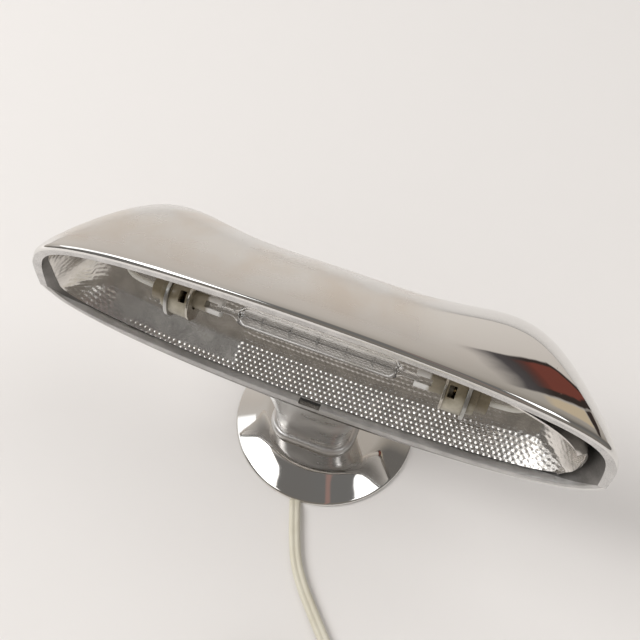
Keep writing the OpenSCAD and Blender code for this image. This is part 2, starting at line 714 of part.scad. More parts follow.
module holder()
  color("antiquewhite") in_head() difference() {
    on_lamp(holder_x) cylinder(d = holder_d, h = holder_l - hair);
    on_lamp(holder_x - 1) cylinder(d = cap_bore, h = guide_x - holder_x + 1);
    on_lamp(guide_x - 1) cylinder(d = nose_d + 0.1, h = guide_t + 2);
    on_lamp(chamber_x) cylinder(d = chamber_d, h = holder_l);
    on_lamp(holder_x + 0.8) rotate([0, 0, lamp_roll - 90]) translate([2, -window_w / 2, 0])
      cube([holder_d, window_w, window_l]);
  }

module flange()
  color("silver") in_head() on_lamp(flange_x) ring(flange_d, cap_bore + 0.2, flange_t - hair);

module rear_block()
  color("antiquewhite") in_head() difference() {
    union() {
      on_lamp(ear_x) cylinder(d = neck_d, h = lbr_t + 1);
      on_lamp(rear_x + hair) cylinder(d = stage_d, h = stage_l);
      on_lamp(rear_x + hair) cylinder(d = rear_d, h = rear_l - hair);
    }
    on_lamp(ear_x - 1) cylinder(d = chamber_d, h = chamber_end - ear_x + 1);
    on_lamp(chamber_end - 1) cylinder(d = lead_bore, h = rear_wall + 2);
  }

module plunger()
  color("goldenrod") in_head() {
    on_lamp(contact_span / 2 + seat) cylinder(d = nose_d, h = collar_x - contact_span / 2);
    on_lamp(collar_x) cylinder(d = collar_d, h = collar_t);
    on_lamp(collar_x + collar_t - 0.5) cylinder(d = stem_d, h = spring_l + 0.5);
  }

// The spring is drawn as short as it gets, so it moves with the plunger it pushes
spring_x = collar_x + collar_t + hair;
spring_l = chamber_end - plunge - 0.1 - spring_x;
module contact_spring() {
  n = round(spring_turns * 10);
  r = (collar_d - 0.3 - spring_wire) / 2;
  run = spring_l - spring_wire;
  route = [for (i = [0:n]) let(g = 360 * spring_turns * i / n)
    [spring_x + spring_wire / 2 + run * i / n, lamp_v + r * sin(g), lamp_n + r * cos(g)]];
  echo(spring_gap = run / spring_turns - spring_wire);
  color("silver") in_head() tube(route, [for (p = route) [1, 0, 0]], spring_wire, spring_wire, 6);
}

module holder_left() mirror_head() holder();
module holder_right() holder();
module flange_left() mirror_head() flange();
module flange_right() flange();
module rear_block_left() mirror_head() rear_block();
module rear_block_right() rear_block();
module plunger_left() mirror_head() plunger();
module plunger_right() plunger();
module contact_spring_left() mirror_head() contact_spring();
module contact_spring_right() contact_spring();
// Mirrors across the head's own middle plane
module mirror_head()
  in_swivel() translate([-head_side, 0, 0]) mirror([1, 0, 0]) translate([head_side, 0, 0])
    rotate([0, -head_turn, 0]) children();

// Lamp

glass_wall = 1;
function half_capsule(r, half, dome, n) = [for (k = [0:n]) let(g = 90 * k / n)
  [r * cos(g), half - dome + dome * sin(g)]];
module capsule(r, half, dome) {
  e = half_capsule(r, half, dome, 8);
  rotate_extrude() polygon(concat(e, [for (k = [8:-1:0]) [e[k][0], -e[k][1]]]));
}

module lamp_bulb() {
  half = bulb_l / 2;
  color("aliceblue", 0.4) in_head() on_lamp(0) rotate([0, 0, lamp_roll]) difference() {
    union() {
      capsule(bulb_d / 2, half, 4);
      for (s = [-1, 1]) translate([0, 0, s * (half + pinch_end - 1) / 2])
        cube([pinch_t, cap_d - 0.8, pinch_end - half + 1], center = true);
    }
    capsule(bulb_d / 2 - glass_wall, half - glass_wall, 4);
  }
}
pinch_end = cap_in + 1.8;

module filament() {
  r = bulb_d / 2 - glass_wall - hair;
  color("gray") in_head() {
    on_lamp(-bulb_l / 2 + glass_wall + hair) cylinder(d = 1, h = bulb_l - 2 * (glass_wall + hair));
    for (k = [-2:2]) on_lamp(k * bulb_l / 6 - 0.2) cylinder(r = r, h = 0.4);
  }
}

module lamp_cap()
  color("ivory") in_head() difference() {
    on_lamp(cap_in) cylinder(d = cap_d, h = cap_l);
    on_lamp(contact_span / 2 - 0.8) cylinder(d = nose_d + 1, h = cap_l);
    on_lamp(cap_in - 1) rotate([0, 0, lamp_roll]) translate([-pinch_t / 2 - seat, -cap_d / 2 - 1, 0])
      cube([pinch_t + 2 * seat, cap_d + 2, fork_l + 1]);
  }
module lamp_cap_left() mirror_head() lamp_cap();
module lamp_cap_right() lamp_cap();

module lamp_contacts()
  color("silver") in_head() both_ends() on_lamp(contact_span / 2 - 0.8 + hair)
    cylinder(d = nose_d + 0.9, h = 0.8 - hair);

// Leads and terminal block

// Each lead runs out of its holder, bends up through the reflector and comes back to the block.
// Its first places are shares of the way out to the hole, its last ones of the way back.
lead_out = rear_x + rear_l + 3;
function way_out(s) = lead_out + (lead_hole_x - lead_out) * s;
function way_back(s) = pole_x + (lead_hole_x - pole_x) * s;
lead_route = [
  [chamber_end + 0.1, lamp_v, lamp_n], [lead_out, lamp_v, lamp_n],
  [way_out(0.4), 32.5, 13.4], [way_out(0.67), 32.8, 15.4], [way_out(0.88), 33.4, 19],
  [way_out(0.99), 33.9, 23.5], [lead_hole_x, lead_hole_v, refl_top],
  [way_back(0.995), 33.6, 30.8], [way_back(0.97), 32, 33], [way_back(0.92), 29.5, 34],
  [way_back(0.84), 26, 34.2], [way_back(0.74), 22.5, 34.2], [way_back(0.6), 19.5, 34.2],
  [way_back(0.45), 17.8, wire_n], [way_back(0.28), 17, wire_n], [way_back(0.12), 16.8, wire_n],
  [way_back(0.05), 17.6, wire_n], [way_back(0.01), 20, wire_n],
  [pole_x, 22.6, wire_n], [pole_x, term_front - hair, wire_n]];
module lead()
  color("white") in_head()
    tube(lead_route, [for (i = [0:len(lead_route) - 1]) i < 8 ? [0, 1, 0] : [0, 0, 1]],
      lead_d, lead_d, 8);
module lead_left() mirror_head() lead();
module lead_right() lead();

fix_d = 3;
term_screw_d = 3;
module terminal_block()
  color("antiquewhite") in_head() translate([0, term_front, lbr_top + hair]) difference() {
    translate([-term_l / 2, 0, 0]) cube([term_l, term_w, term_h]);
    both_ends() {
      translate([pole_x, -1, wire_n - lbr_top - hair]) rotate([-90, 0, 0])
        cylinder(d = 2.2, h = term_w + 2);
      for (y = [3, term_w - 3]) translate([pole_x, y, 3.6]) cylinder(d = term_screw_d + 0.2, h = 8);
    }
    translate([0, term_w / 2, -1]) cylinder(d = fix_d + 2 * hair, h = term_h + 2);
    translate([0, term_w / 2, 3]) cylinder(d = 5.6, h = term_h);
  }

module terminal_screws()
  color("silver") in_head() translate([0, term_front, lbr_top + hair]) {
    both_ends() for (y = [3, term_w - 3])
      translate([pole_x, y, 4.8]) cylinder(d = term_screw_d, h = 2.2);
    translate([0, term_w / 2, 3 + hair]) cylinder(d = 5.2, h = 2);
    translate([0, term_w / 2, -lbr_t]) cylinder(d = fix_d, h = lbr_t + 4);
  }

wire_end = to_swivel([0, term_front + term_w + hair, wire_n]);
head_route = [
  [0, -tube_front - 0.5, 0], [0, -34, 0], [0, -46, 0], [0, -57, 0.2], [-0.4, -66, 1],
  [-1.8, -74, 3], [-3, -81, 6], [-head_side, wire_end[1] + 3.5, 7.6], wire_end];
module head_cord()
  color("beige") in_swivel()
    tube(head_route, [for (p = head_route) [1, 0, 0]], cord_w, cord_t, 8);

// Supply cord, coil, tie and plug

function edge_on(t) = [cos(t), -sin(t), 0];
coil_y1 = cord_w / 2 + tie_t + 0.4;
coil_y2 = coil_y1 + cord_w + 0.6;
coil_out = coil_in + coil_step * coil_turns / 2;
coil_x = 9 - coil_out;
coil_start = -156;
coil_z = coil_start - cord_w;
coil_stop = coil_z - cord_w;
plug_y = 7.2;
plug_x = 8.5;
tail_drop = 31;
plug_z = coil_stop - tail_drop;

cord_route = [
  [cord_x, -cord_y, rim_z], [cord_x, -cord_y, -52], [-15, -cord_y, -62], [-14, -cord_y, -74],
  [-11.3, -cord_y, -84.5], [-7, -cord_y, -95.5], [-1.4, -cord_y, -108.5], [3.2, -2, -119],
  [6.6, -2.8, -129.5], [8.5, -3.6, -140], [9, -coil_y1, -149], [9, -coil_y1, coil_start + 0.1]];
cord_twist = [0, 0, 0, 0, 0, 0, 0, 15, 45, 75, 90, 90];
module cord()
  color("beige") tube(cord_route, [for (t = cord_twist) edge_on(t)], cord_w, cord_t, 8);

tail_route = [
  [9, -coil_y2, coil_stop - 0.1], [9, -coil_y2 + 0.4, coil_stop - 6],
  [8.9, -coil_y2 + 1.3, coil_stop - 14], [8.7, -coil_y2 + 2.2, coil_stop - 22],
  [plug_x, -plug_y, plug_z + 3], [plug_x, -plug_y, plug_z + 0.1]];
tail_twist = [90, 80, 50, 20, 0, 0];
module cord_tail()
  color("beige") tube(tail_route, [for (t = tail_twist) edge_on(t)], cord_w, cord_t, 8);

loop_rings = 24;
half_coil = 180 * coil_turns;
climb = 90;
function coil_point(g) =
  let(r = coil_out - coil_step * min(g, 2 * half_coil - g) / 360,
    s = min(1, max(0, (g - half_coil) / climb + 0.5)),
    y = coil_y1 + (coil_y2 - coil_y1) * s * s * (3 - 2 * s))
  [coil_x + r * cos(g), -y, coil_z - r * sin(g)];
coil_route = concat(
  [[coil_x + coil_out, -coil_y1, coil_start]],
  [for (i = [0:coil_turns * loop_rings]) coil_point(i * 360 / loop_rings)],
  [[coil_x + coil_out, -coil_y2, coil_stop]]);
module cord_coil() {
  n = coil_turns * loop_rings;
  // Least distance of a centre line point to the next turns, less the cord's own size that way
  gaps = [for (i = [1:n]) for (k = [-1:1]) for (m = [1:coil_turns])
    if (i + m * loop_rings + k <= n)
      let(d = coil_route[i + m * loop_rings + k] - coil_route[i])
      max(norm([d[0], d[2]]) - cord_t, abs(d[1]) - cord_w)];
  echo(coil_gap = min(gaps));
  color("beige") tube(coil_route, [for (p = coil_route) [0, -1, 0]], cord_w, cord_t, 6);
}

module cord_tie() {
  out = coil_out - coil_step / 2 + cord_t / 2 + 0.4;
  in = coil_in + coil_step / 2 - cord_t / 2 - 0.4;
  low = coil_y1 - cord_w / 2 - 0.3;
  high = coil_y2 + cord_w / 2 + 0.3;
  color("white") difference() {
    union() {
      translate([coil_x - out - tie_t, -high - tie_t, coil_z - tie_w / 2])
        cube([out - in + 2 * tie_t, high - low + 2 * tie_t, tie_w]);
      translate([coil_x - (out + in) / 2 - 3, -high - tie_t - 2.6, coil_z - tie_w / 2 - 0.8])
        cube([6, 3, tie_w + 1.6]);
    }
    translate([coil_x - out, -high, coil_z - tie_w]) cube([out - in, high - low, 2 * tie_w]);
  }
}

plug_l = 36;
plug_w = 35.3;
plug_t = 13.7;
sleeve_d = plug_pin_d - 0.2;
core_d = plug_pin_d - 1;
sleeve_l = 10;
module pin_places() for (s = [-1, 1]) translate([plug_x + s * plug_pitch / 2, -plug_y, plug_z - plug_l])
  rotate([180, 0, 0]) children();
module plug_body() {
  half_plan = [[0, plug_w / 2], [10, plug_w / 2], [14, 15.2], [21, 11.6], [29, 8.2], [plug_l, 5]];
  half_side = [[0, plug_t / 2], [14, plug_t / 2], [plug_l, 4]];
  color("white") difference() {
    union() {
      translate([plug_x, -plug_y, plug_z - plug_l]) intersection() {
        rotate([90, 0, 0]) linear_extrude(plug_t, center = true) polygon(concat(
          [for (p = half_plan) [p[1], p[0]]],
          [for (k = [len(half_plan) - 1:-1:0]) [-half_plan[k][1], half_plan[k][0]]]));
        rotate([90, 0, 90]) linear_extrude(plug_w, center = true) polygon(concat(
          [for (p = half_side) [p[1], p[0]]],
          [for (k = [len(half_side) - 1:-1:0]) [-half_side[k][1], half_side[k][0]]]));
      }
      pin_places() cylinder(d = sleeve_d, h = sleeve_l);
    }
    pin_places() translate([0, 0, -12]) cylinder(d = core_d + 2 * hair, h = sleeve_l + 13);
  }
}

module plug_pins()
  color("silver") pin_places() {
    translate([0, 0, -11]) cylinder(d = core_d, h = 12 + sleeve_l);
    translate([0, 0, sleeve_l + hair]) cylinder(d = plug_pin_d, h = plug_pin_l - sleeve_l - 2);
    translate([0, 0, plug_pin_l - 2]) sphere(d = plug_pin_d);
  }

wall_bracket();
rose();
centre_tube();
stop_pin();
friction_washer();
plain_washer();
spring_washer();
tube_nut();
lock_nut();
cord_clamp();
clamp_screws();
inner_cord();
neck_foot();
neck();
tie_screws();
head_housing();
reflector();
lamp_bracket();
bracket_screws();
holder_left();
holder_right();
flange_left();
flange_right();
rear_block_left();
rear_block_right();
plunger_left();
plunger_right();
contact_spring_left();
contact_spring_right();
lamp_bulb();
filament();
lamp_cap_left();
lamp_cap_right();
lamp_contacts();
lead_left();
lead_right();
terminal_block();
terminal_screws();
head_cord();
cord();
cord_coil();
cord_tie();
cord_tail();
plug_body();
plug_pins();
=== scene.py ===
import math

import bpy
import numpy as np
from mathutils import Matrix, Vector
from mathutils.kdtree import KDTree


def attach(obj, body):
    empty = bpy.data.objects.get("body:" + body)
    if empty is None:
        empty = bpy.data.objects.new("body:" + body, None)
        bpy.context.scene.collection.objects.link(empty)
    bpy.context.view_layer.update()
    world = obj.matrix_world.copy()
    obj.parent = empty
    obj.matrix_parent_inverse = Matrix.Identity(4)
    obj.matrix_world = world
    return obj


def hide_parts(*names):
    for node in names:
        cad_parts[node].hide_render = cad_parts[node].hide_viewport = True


# Wall lamp with a polished cast head. Lengths in the dictionaries are millimetres.
# The wall is the plane y = 0, the lamp reaches to -Y and +Z is up.

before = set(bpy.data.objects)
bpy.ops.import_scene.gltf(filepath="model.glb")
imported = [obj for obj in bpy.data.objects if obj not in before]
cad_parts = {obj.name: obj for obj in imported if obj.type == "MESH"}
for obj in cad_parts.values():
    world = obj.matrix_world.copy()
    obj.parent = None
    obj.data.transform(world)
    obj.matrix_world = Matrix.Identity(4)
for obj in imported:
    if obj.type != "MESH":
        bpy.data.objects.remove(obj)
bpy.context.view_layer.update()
mm = 0.001


# Camera

cameraSet = {"azimuth": -2.72, "elevation": -33.63, "distance": 380,
             "target": (-5.68, -60, 23.21), "lens": 45, "sensor": 36, "clipMetres": (0.01, 50)}


def makeCamera(s):
    data = bpy.data.cameras.new("camera")
    camera = bpy.data.objects.new("camera", data)
    bpy.context.scene.collection.objects.link(camera)
    data.lens, data.sensor_width = s["lens"], s["sensor"]
    data.clip_start, data.clip_end = s["clipMetres"]
    a, e = math.radians(s["azimuth"]), math.radians(s["elevation"])
    back = Vector((math.sin(a) * math.cos(e), -math.cos(a) * math.cos(e), math.sin(e)))
    camera.location = (Vector(s["target"]) + back * s["distance"]) * mm
    camera.rotation_mode = "QUATERNION"
    camera.rotation_quaternion = (-back).to_track_quat("-Z", "Y")
    bpy.context.scene.camera = camera


# Mesh helpers

def deselectAll():
    bpy.ops.object.select_all(action="DESELECT")


def makeActive(obj):
    deselectAll()
    obj.select_set(True)
    bpy.context.view_layer.objects.active = obj


def cornersOf(obj):
    co = np.empty(len(obj.data.vertices) * 3, np.float32)
    obj.data.vertices.foreach_get("co", co)
    return co.reshape(-1, 3)


def setCorners(obj, co):
    obj.data.vertices.foreach_set("co", np.asarray(co, np.float32).ravel())
    obj.data.update()


def inEditMode(obj, *steps):
    makeActive(obj)
    bpy.ops.object.mode_set(mode="EDIT")
    bpy.ops.mesh.select_mode(type="VERT")
    bpy.ops.mesh.select_all(action="SELECT")
    for step in steps:
        step()
    bpy.ops.object.mode_set(mode="OBJECT")


def weld(distance=1e-6):
    return lambda: bpy.ops.mesh.remove_doubles(threshold=distance)


def turnOutwards():
    bpy.ops.mesh.normals_make_consistent(inside=False)


def capHoles():
    bpy.ops.mesh.select_all(action="DESELECT")
    bpy.ops.mesh.select_non_manifold(extend=False, use_wire=False, use_multi_face=False,
                                     use_non_contiguous=False, use_verts=False)
    bpy.ops.mesh.edge_face_add()
    bpy.ops.mesh.select_all(action="SELECT")


def smooth(obj, angle=35):
    makeActive(obj)
    bpy.ops.object.shade_smooth_by_angle(angle=math.radians(angle))


# A grid primitive whose corner i, j is put on place(i, j). Zones give each face its material slot.
def shapedGrid(name, across, along, place, zones=None):
    deselectAll()
    bpy.ops.mesh.primitive_grid_add(x_subdivisions=across, y_subdivisions=along, size=2)
    obj = bpy.context.object
    obj.name = obj.data.name = name
    co = cornersOf(obj)
    i = np.rint((co[:, 0] + 1) / 2 * across).astype(int)
    j = np.rint((co[:, 1] + 1) / 2 * along).astype(int)
    setCorners(obj, place(i, j) * mm)
    if zones is not None:
        faces = np.empty(len(obj.data.polygons) * 4, np.int32)
        obj.data.polygons.foreach_get("vertices", faces)
        faces = faces.reshape(-1, 4)
        slots = zones(i[faces].min(1), j[faces].min(1)).astype(np.int32)
        for k in range(int(slots.max()) + 1):
            obj.data.materials.append(None)
        obj.data.polygons.foreach_set("material_index", slots)
    return obj


# A closed solid from loops[i, j] of points, in millimetres. Each loop is closed.
def skinned(name, loops, caps=False, angle=35, zones=None):
    n, m = loops.shape[:2]
    across = None if zones is None else lambda i, j: np.asarray(zones)[i]
    obj = shapedGrid(name, m, n - 1, lambda i, j: loops[j, i % m], across)
    inEditMode(obj, weld(), *([capHoles] if caps else []), turnOutwards)
    smooth(obj, angle)
    return obj


# A copy of a CAD node with its loose triangles joined
def weldedCopy(node, name):
    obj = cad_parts[node].copy()
    obj.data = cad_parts[node].data.copy()
    for key in list(obj.keys()):
        del obj[key]
    obj.name = obj.data.name = name
    obj.parent = None
    bpy.context.scene.collection.objects.link(obj)
    inEditMode(obj, weld(1e-5))
    return obj


# The same with its edges rounded
def bevelledCopy(node, name, width, segments=3, angle=30):
    obj = weldedCopy(node, name)
    inEditMode(obj, lambda: bpy.ops.mesh.dissolve_limited(angle_limit=math.radians(1)))
    makeActive(obj)
    bevel = obj.modifiers.new("edges", "BEVEL")
    bevel.width, bevel.segments, bevel.limit_method = width * mm, segments, "ANGLE"
    bevel.angle_limit = math.radians(angle)
    bevel.use_clamp_overlap = True
    bpy.ops.object.modifier_apply(modifier="edges")
    smooth(obj, 40)
    return obj


def cutWith(obj, cutter, operation="DIFFERENCE"):
    makeActive(obj)
    modifier = obj.modifiers.new("cut", "BOOLEAN")
    modifier.operation, modifier.object, modifier.solver = operation, cutter, "MANIFOLD"
    bpy.ops.object.modifier_apply(modifier="cut")
    bpy.data.objects.remove(cutter)
    return obj


# A box or a cylinder for cutting, given in the head's own places
def headCutter(place):
    obj = bpy.context.object
    setCorners(obj, placeHead(place(cornersOf(obj))) * mm)
    return obj


def headBox(low, high):
    deselectAll()
    bpy.ops.mesh.primitive_cube_add(size=1)
    low, high = np.array(low, float), np.array(high, float)
    return headCutter(lambda co: low + (co + 0.5) * (high - low))


def headPeg(x, v, low, high, d):
    deselectAll()
    bpy.ops.mesh.primitive_cylinder_add(vertices=48, radius=d / 2, depth=2)
    return headCutter(lambda co: np.stack([
        x + co[:, 0], v + co[:, 1], low + (co[:, 2] + 1) / 2 * (high - low)], 1))


# A tuple of finishes goes to the slots that a zoned piece already has
def dress(obj, body, finish, slot, *nodes):
    if isinstance(finish, tuple):
        for k, name in enumerate(finish):
            obj.data.materials[k] = finishes[name]
    else:
        obj.data.materials.clear()
        obj.data.materials.append(finishes[finish])
    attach(obj, body)
    if nodes:
        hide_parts(*nodes)
    return obj


def unit(v):
    return v / np.maximum(np.linalg.norm(v, axis=-1, keepdims=True), 1e-12)


def slopes(path):
    first, last = path[1:2] - path[:1], path[-1:] - path[-2:-1]
    return unit(np.concatenate([first, path[2:] - path[:-2], last]))


# A tube along a path. The section's first axis lies along the vectors in across.
def swept(name, path, across, section, angle=50, thick=None):
    d = slopes(path)
    b = unit(np.cross(d, across))
    a = np.cross(b, d)
    if thick is not None:
        b = b * thick[:, None]
    loops = path[:, None] + a[:, None] * section[None, :, :1] + b[:, None] * section[None, :, 1:]
    return skinned(name, loops, caps=True, angle=angle)


# A smooth curve through points, with steps points a span
def through(points, steps):
    p = np.asarray(points, float)
    p = np.concatenate([2 * p[:1] - p[1:2], p, 2 * p[-1:] - p[-2:-1]])
    out = []
    for i in range(1, len(p) - 2):
        t = np.linspace(0, 1, steps, endpoint=False)[:, None]
        a, b, c, d = p[i - 1:i + 3]
        out.append(0.5 * (2 * b + (c - a) * t + (2 * a - 5 * b + 4 * c - d) * t**2
                          + (3 * b - a - 3 * c + d) * t**3))
    return np.concatenate(out + [p[-2:-1]])


def roundSection(r, n):
    g = np.arange(n) * 2 * np.pi / n
    return np.stack([r * np.cos(g), r * np.sin(g)], 1)


# Shader helpers

# A node's output, which can be used in sums
class Wire:
    def __init__(self, tree, socket):
        self.tree, self.socket = tree, socket

    def maths(self, operation, *values):
        node = self.tree.nodes.new("ShaderNodeMath")
        node.operation = operation
        for socket, value in zip(node.inputs, values):
            join(self.tree, socket, value)
        return Wire(self.tree, node.outputs[0])

    def __add__(self, other):
        return self.maths("ADD", self, other)

    def __radd__(self, other):
        return self.maths("ADD", other, self)

    def __sub__(self, other):
        return self.maths("SUBTRACT", self, other)

    def __rsub__(self, other):
        return self.maths("SUBTRACT", other, self)

    def __mul__(self, other):
        return self.maths("MULTIPLY", self, other)

    def __rmul__(self, other):
        return self.maths("MULTIPLY", other, self)

    def __truediv__(self, other):
        return self.maths("DIVIDE", self, other)

    def larger(self, other):
        return self.maths("MAXIMUM", self, other)


# Links a value that varies, or sets a constant. A colour given by three numbers is opaque.
def join(tree, socket, value):
    if isinstance(value, Wire):
        tree.links.new(value.socket, socket)
    elif socket.type == "RGBA" and len(value) == 3:
        socket.default_value = (*value, 1)
    else:
        socket.default_value = value


class Nodes:
    def __init__(self, tree, place):
        self.tree = tree
        self.place = self.node("ShaderNodeTexCoord", {}, {}, place)

    # settings are set first, then the values or links of the sockets
    def node(self, kind, settings, values, output=0):
        made = self.tree.nodes.new(kind)
        for key, value in settings.items():
            if key == "stops":
                ramp = made.color_ramp
                while len(ramp.elements) < len(value):
                    ramp.elements.new(1)
                for element, (position, colour) in zip(ramp.elements, value):
                    element.position, element.color = position, (*colour, 1)
            else:
                setattr(made, key, value)
        for key, value in values.items():
            join(self.tree, made.inputs[key], value)
        return Wire(self.tree, made.outputs[output])

    # Noise whose blotches are about this many millimetres across
    def noise(self, size, detail=2, stretch=(1, 1, 1)):
        where = self.node("ShaderNodeMapping", {}, {
            "Vector": self.place, "Scale": [k / (size * mm) for k in stretch]})
        return self.blotches(where, 1, detail)

    def blotches(self, place, scale, detail):
        return self.node("ShaderNodeTexNoise", {}, {
            "Vector": place, "Scale": scale, "Detail": detail}, "Fac")

    # From start to end while the value goes from low to high
    def ramp(self, value, low, high, start=0, end=1):
        return self.node("ShaderNodeMapRange", {"clamp": True}, {
            "Value": value, "From Min": low, "From Max": high, "To Min": start, "To Max": end})

    # A Mix node set to colours has its factor at socket 0, its colours at 6 and 7
    def mixed(self, factor, a, b):
        node = self.tree.nodes.new("ShaderNodeMix")
        node.data_type = "RGBA"
        for k, value in ((0, factor), (6, a), (7, b)):
            join(self.tree, node.inputs[k], value)
        return Wire(self.tree, node.outputs[2])

    # 1 between two places of the value, 0 outside them
    def within(self, value, low, high, soft):
        return (self.ramp(value, low - soft, low + soft)
                * self.ramp(value, high + soft, high - soft))

    def dot(self, a, b):
        return self.node("ShaderNodeVectorMath", {"operation": "DOT_PRODUCT"}, {0: a, 1: b},
                         "Value")


class Finish(Nodes):
    def __init__(self, name):
        self.material = bpy.data.materials.new(name)
        self.material.use_nodes = True
        super().__init__(self.material.node_tree, "Object")
        self.shader = self.tree.nodes["Principled BSDF"]

    # A point's own place in the head, in metres: along it, away from the lip, above the mouth
    def inHead(self):
        start = placeHead(np.zeros(3))
        return [self.dot(self.place, tuple(axis)) - float(axis @ start) * mm
                for axis in placeHead(np.eye(3)) - start]

    def relief(self, height, depth):
        bump = self.node("ShaderNodeBump", {}, {"Height": height, "Distance": depth * mm},
                         "Normal")
        self.set({"Normal": bump})

    def set(self, values):
        for key, value in values.items():
            join(self.tree, self.shader.inputs[key], value)


# Finishes

def scaled(colour, factors):
    return tuple(c * k for c, k in zip(colour, factors))


def polishedAluminium(name, tint, rough, wave):
    f = Finish(name)
    stain, smear = f.noise(60, 3), f.noise(9, 4, (0.25, 1, 1))
    warm = scaled(tint, (0.98, 0.93, 0.88))
    f.set({"Metallic": 1.0,
           "Base Color": f.mixed(f.ramp(stain, 0.5, 0.75, 0, 0.6), tint, warm),
           "Roughness": f.ramp(smear, 0.35, 0.75, rough * 0.8, rough * 1.5)})
    f.relief(f.noise(38) + f.noise(2.2) * 0.03, wave)
    return f.material


# The head is dull with handling on the left and bright towards its right end
headFinish = {
    "tint": (0.80, 0.79, 0.77), "warm": (0.95, 0.90, 0.85), "pitted": (0.3, 0.28, 0.26),
    # rear: a painted shade colour that darkens the back of the head towards the wall
    "rear": (0.17, 0.165, 0.16), "dull": 0.27, "bright": 0.03, "rearRough": 0.12,
    "cloud": 30, "smear": 14, "smearLong": (0.4, 1, 1), "stain": 26, "pit": 1.3,
    "depth": 0.03, "pitDepth": 0.4, "drift": 0.006,
    # metres: the wear fades out along the head and begins above the lip, the rear is painted
    # darker and rougher: painted shade for the shaded wall that it reflects
    "wearFades": (0.060, 0.036), "wearAbove": (0.003, 0.008), "rearFrom": (0.060, 0.072),
}


def headAluminium(name, s):
    f = Finish(name)
    x, v, n = f.inHead()
    cloud = f.noise(s["cloud"])
    uneven = f.ramp(cloud, 0.3, 0.7, -s["drift"], s["drift"])
    wear = f.ramp(x + uneven, *s["wearFades"]) * f.ramp(n, *s["wearAbove"])
    # painted shade: towards the wall the head is darkened to stand in for the shaded wall that it
    # reflects, and it is rougher there
    rear = f.ramp(v, *s["rearFrom"])
    smear, stain = f.noise(s["smear"], 4, s["smearLong"]), f.noise(s["stain"], 3)
    pits = f.ramp(f.noise(s["pit"], 1), 0.22, 0.17)
    stained = f.ramp(stain, 0.42, 0.66) * wear
    colour = f.mixed(stained, s["tint"], scaled(s["tint"], s["warm"]))
    colour = f.mixed(pits * 0.5, colour, s["pitted"])
    dulled = wear * f.ramp(smear, 0.3, 0.7, s["dull"] * 0.8, s["dull"] * 1.1)
    f.set({"Metallic": 1.0,
           "Base Color": f.mixed(rear * 0.8, colour, s["rear"]),
           "Roughness": s["bright"] + dulled + rear * s["rearRough"]})
    f.relief(cloud - pits * s["pitDepth"], s["depth"])
    return f.material


def satinMetal(name, colour, rough, grain=0.5, depth=0.02, cloud=7, dark=(0.8, 0.8, 0.8)):
    f = Finish(name)
    fine = f.noise(grain, 3)
    f.set({"Metallic": 1.0,
           "Base Color": f.mixed(f.ramp(f.noise(cloud), 0.35, 0.7), scaled(colour, dark), colour),
           "Roughness": f.ramp(fine, 0.3, 0.7, rough * 0.85, rough * 1.15)})
    f.relief(fine, depth)
    return f.material


def moulded(name, colour, rough, grain=0.4, depth=0.01, cloud=11, dark=(0.90, 0.88, 0.84)):
    f = Finish(name)
    fine = f.noise(grain)
    darker = f.ramp(f.noise(cloud, 3), 0.4, 0.75, 0, 0.7)
    f.set({"Base Color": f.mixed(darker, colour, scaled(colour, dark)),
           "Roughness": f.ramp(fine, 0.3, 0.7, rough * 0.9, rough * 1.1)})
    f.relief(fine, depth)
    return f.material


# Ceramic with painted shade: brown past an edge, above the mouth or along the head, for its shaded
# top and its shaded outer end
def shadePaintedCeramic(name, pale, shadeBrown, edge, soft, along=False):
    f = Finish(name)
    x, _, n = f.inHead()
    fine, drift = f.noise(0.4), f.ramp(f.noise(5, 3), 0.3, 0.7, -0.001, 0.001)
    place = x.maths("ABSOLUTE", x) if along else n
    # painted shade: the part past the edge is browned and given a coat, where it lies in shade
    inShade = f.ramp(place + drift, edge - soft, edge + soft)
    f.set({"Base Color": f.mixed(inShade, pale, shadeBrown), "Coat Weight": inShade * 0.3,
           "Roughness": f.ramp(fine, 0.3, 0.7, 0.26, 0.36)})
    f.relief(fine, 0.01)
    return f.material


def clearQuartz(name, tint, ior, rough):
    f = Finish(name)
    haze = f.ramp(f.noise(6, 2, (0.4, 1, 1)), 0.4, 0.8, 0, rough)
    f.set({"Transmission Weight": 1.0, "IOR": ior, "Base Color": tint, "Roughness": haze})
    return f.material


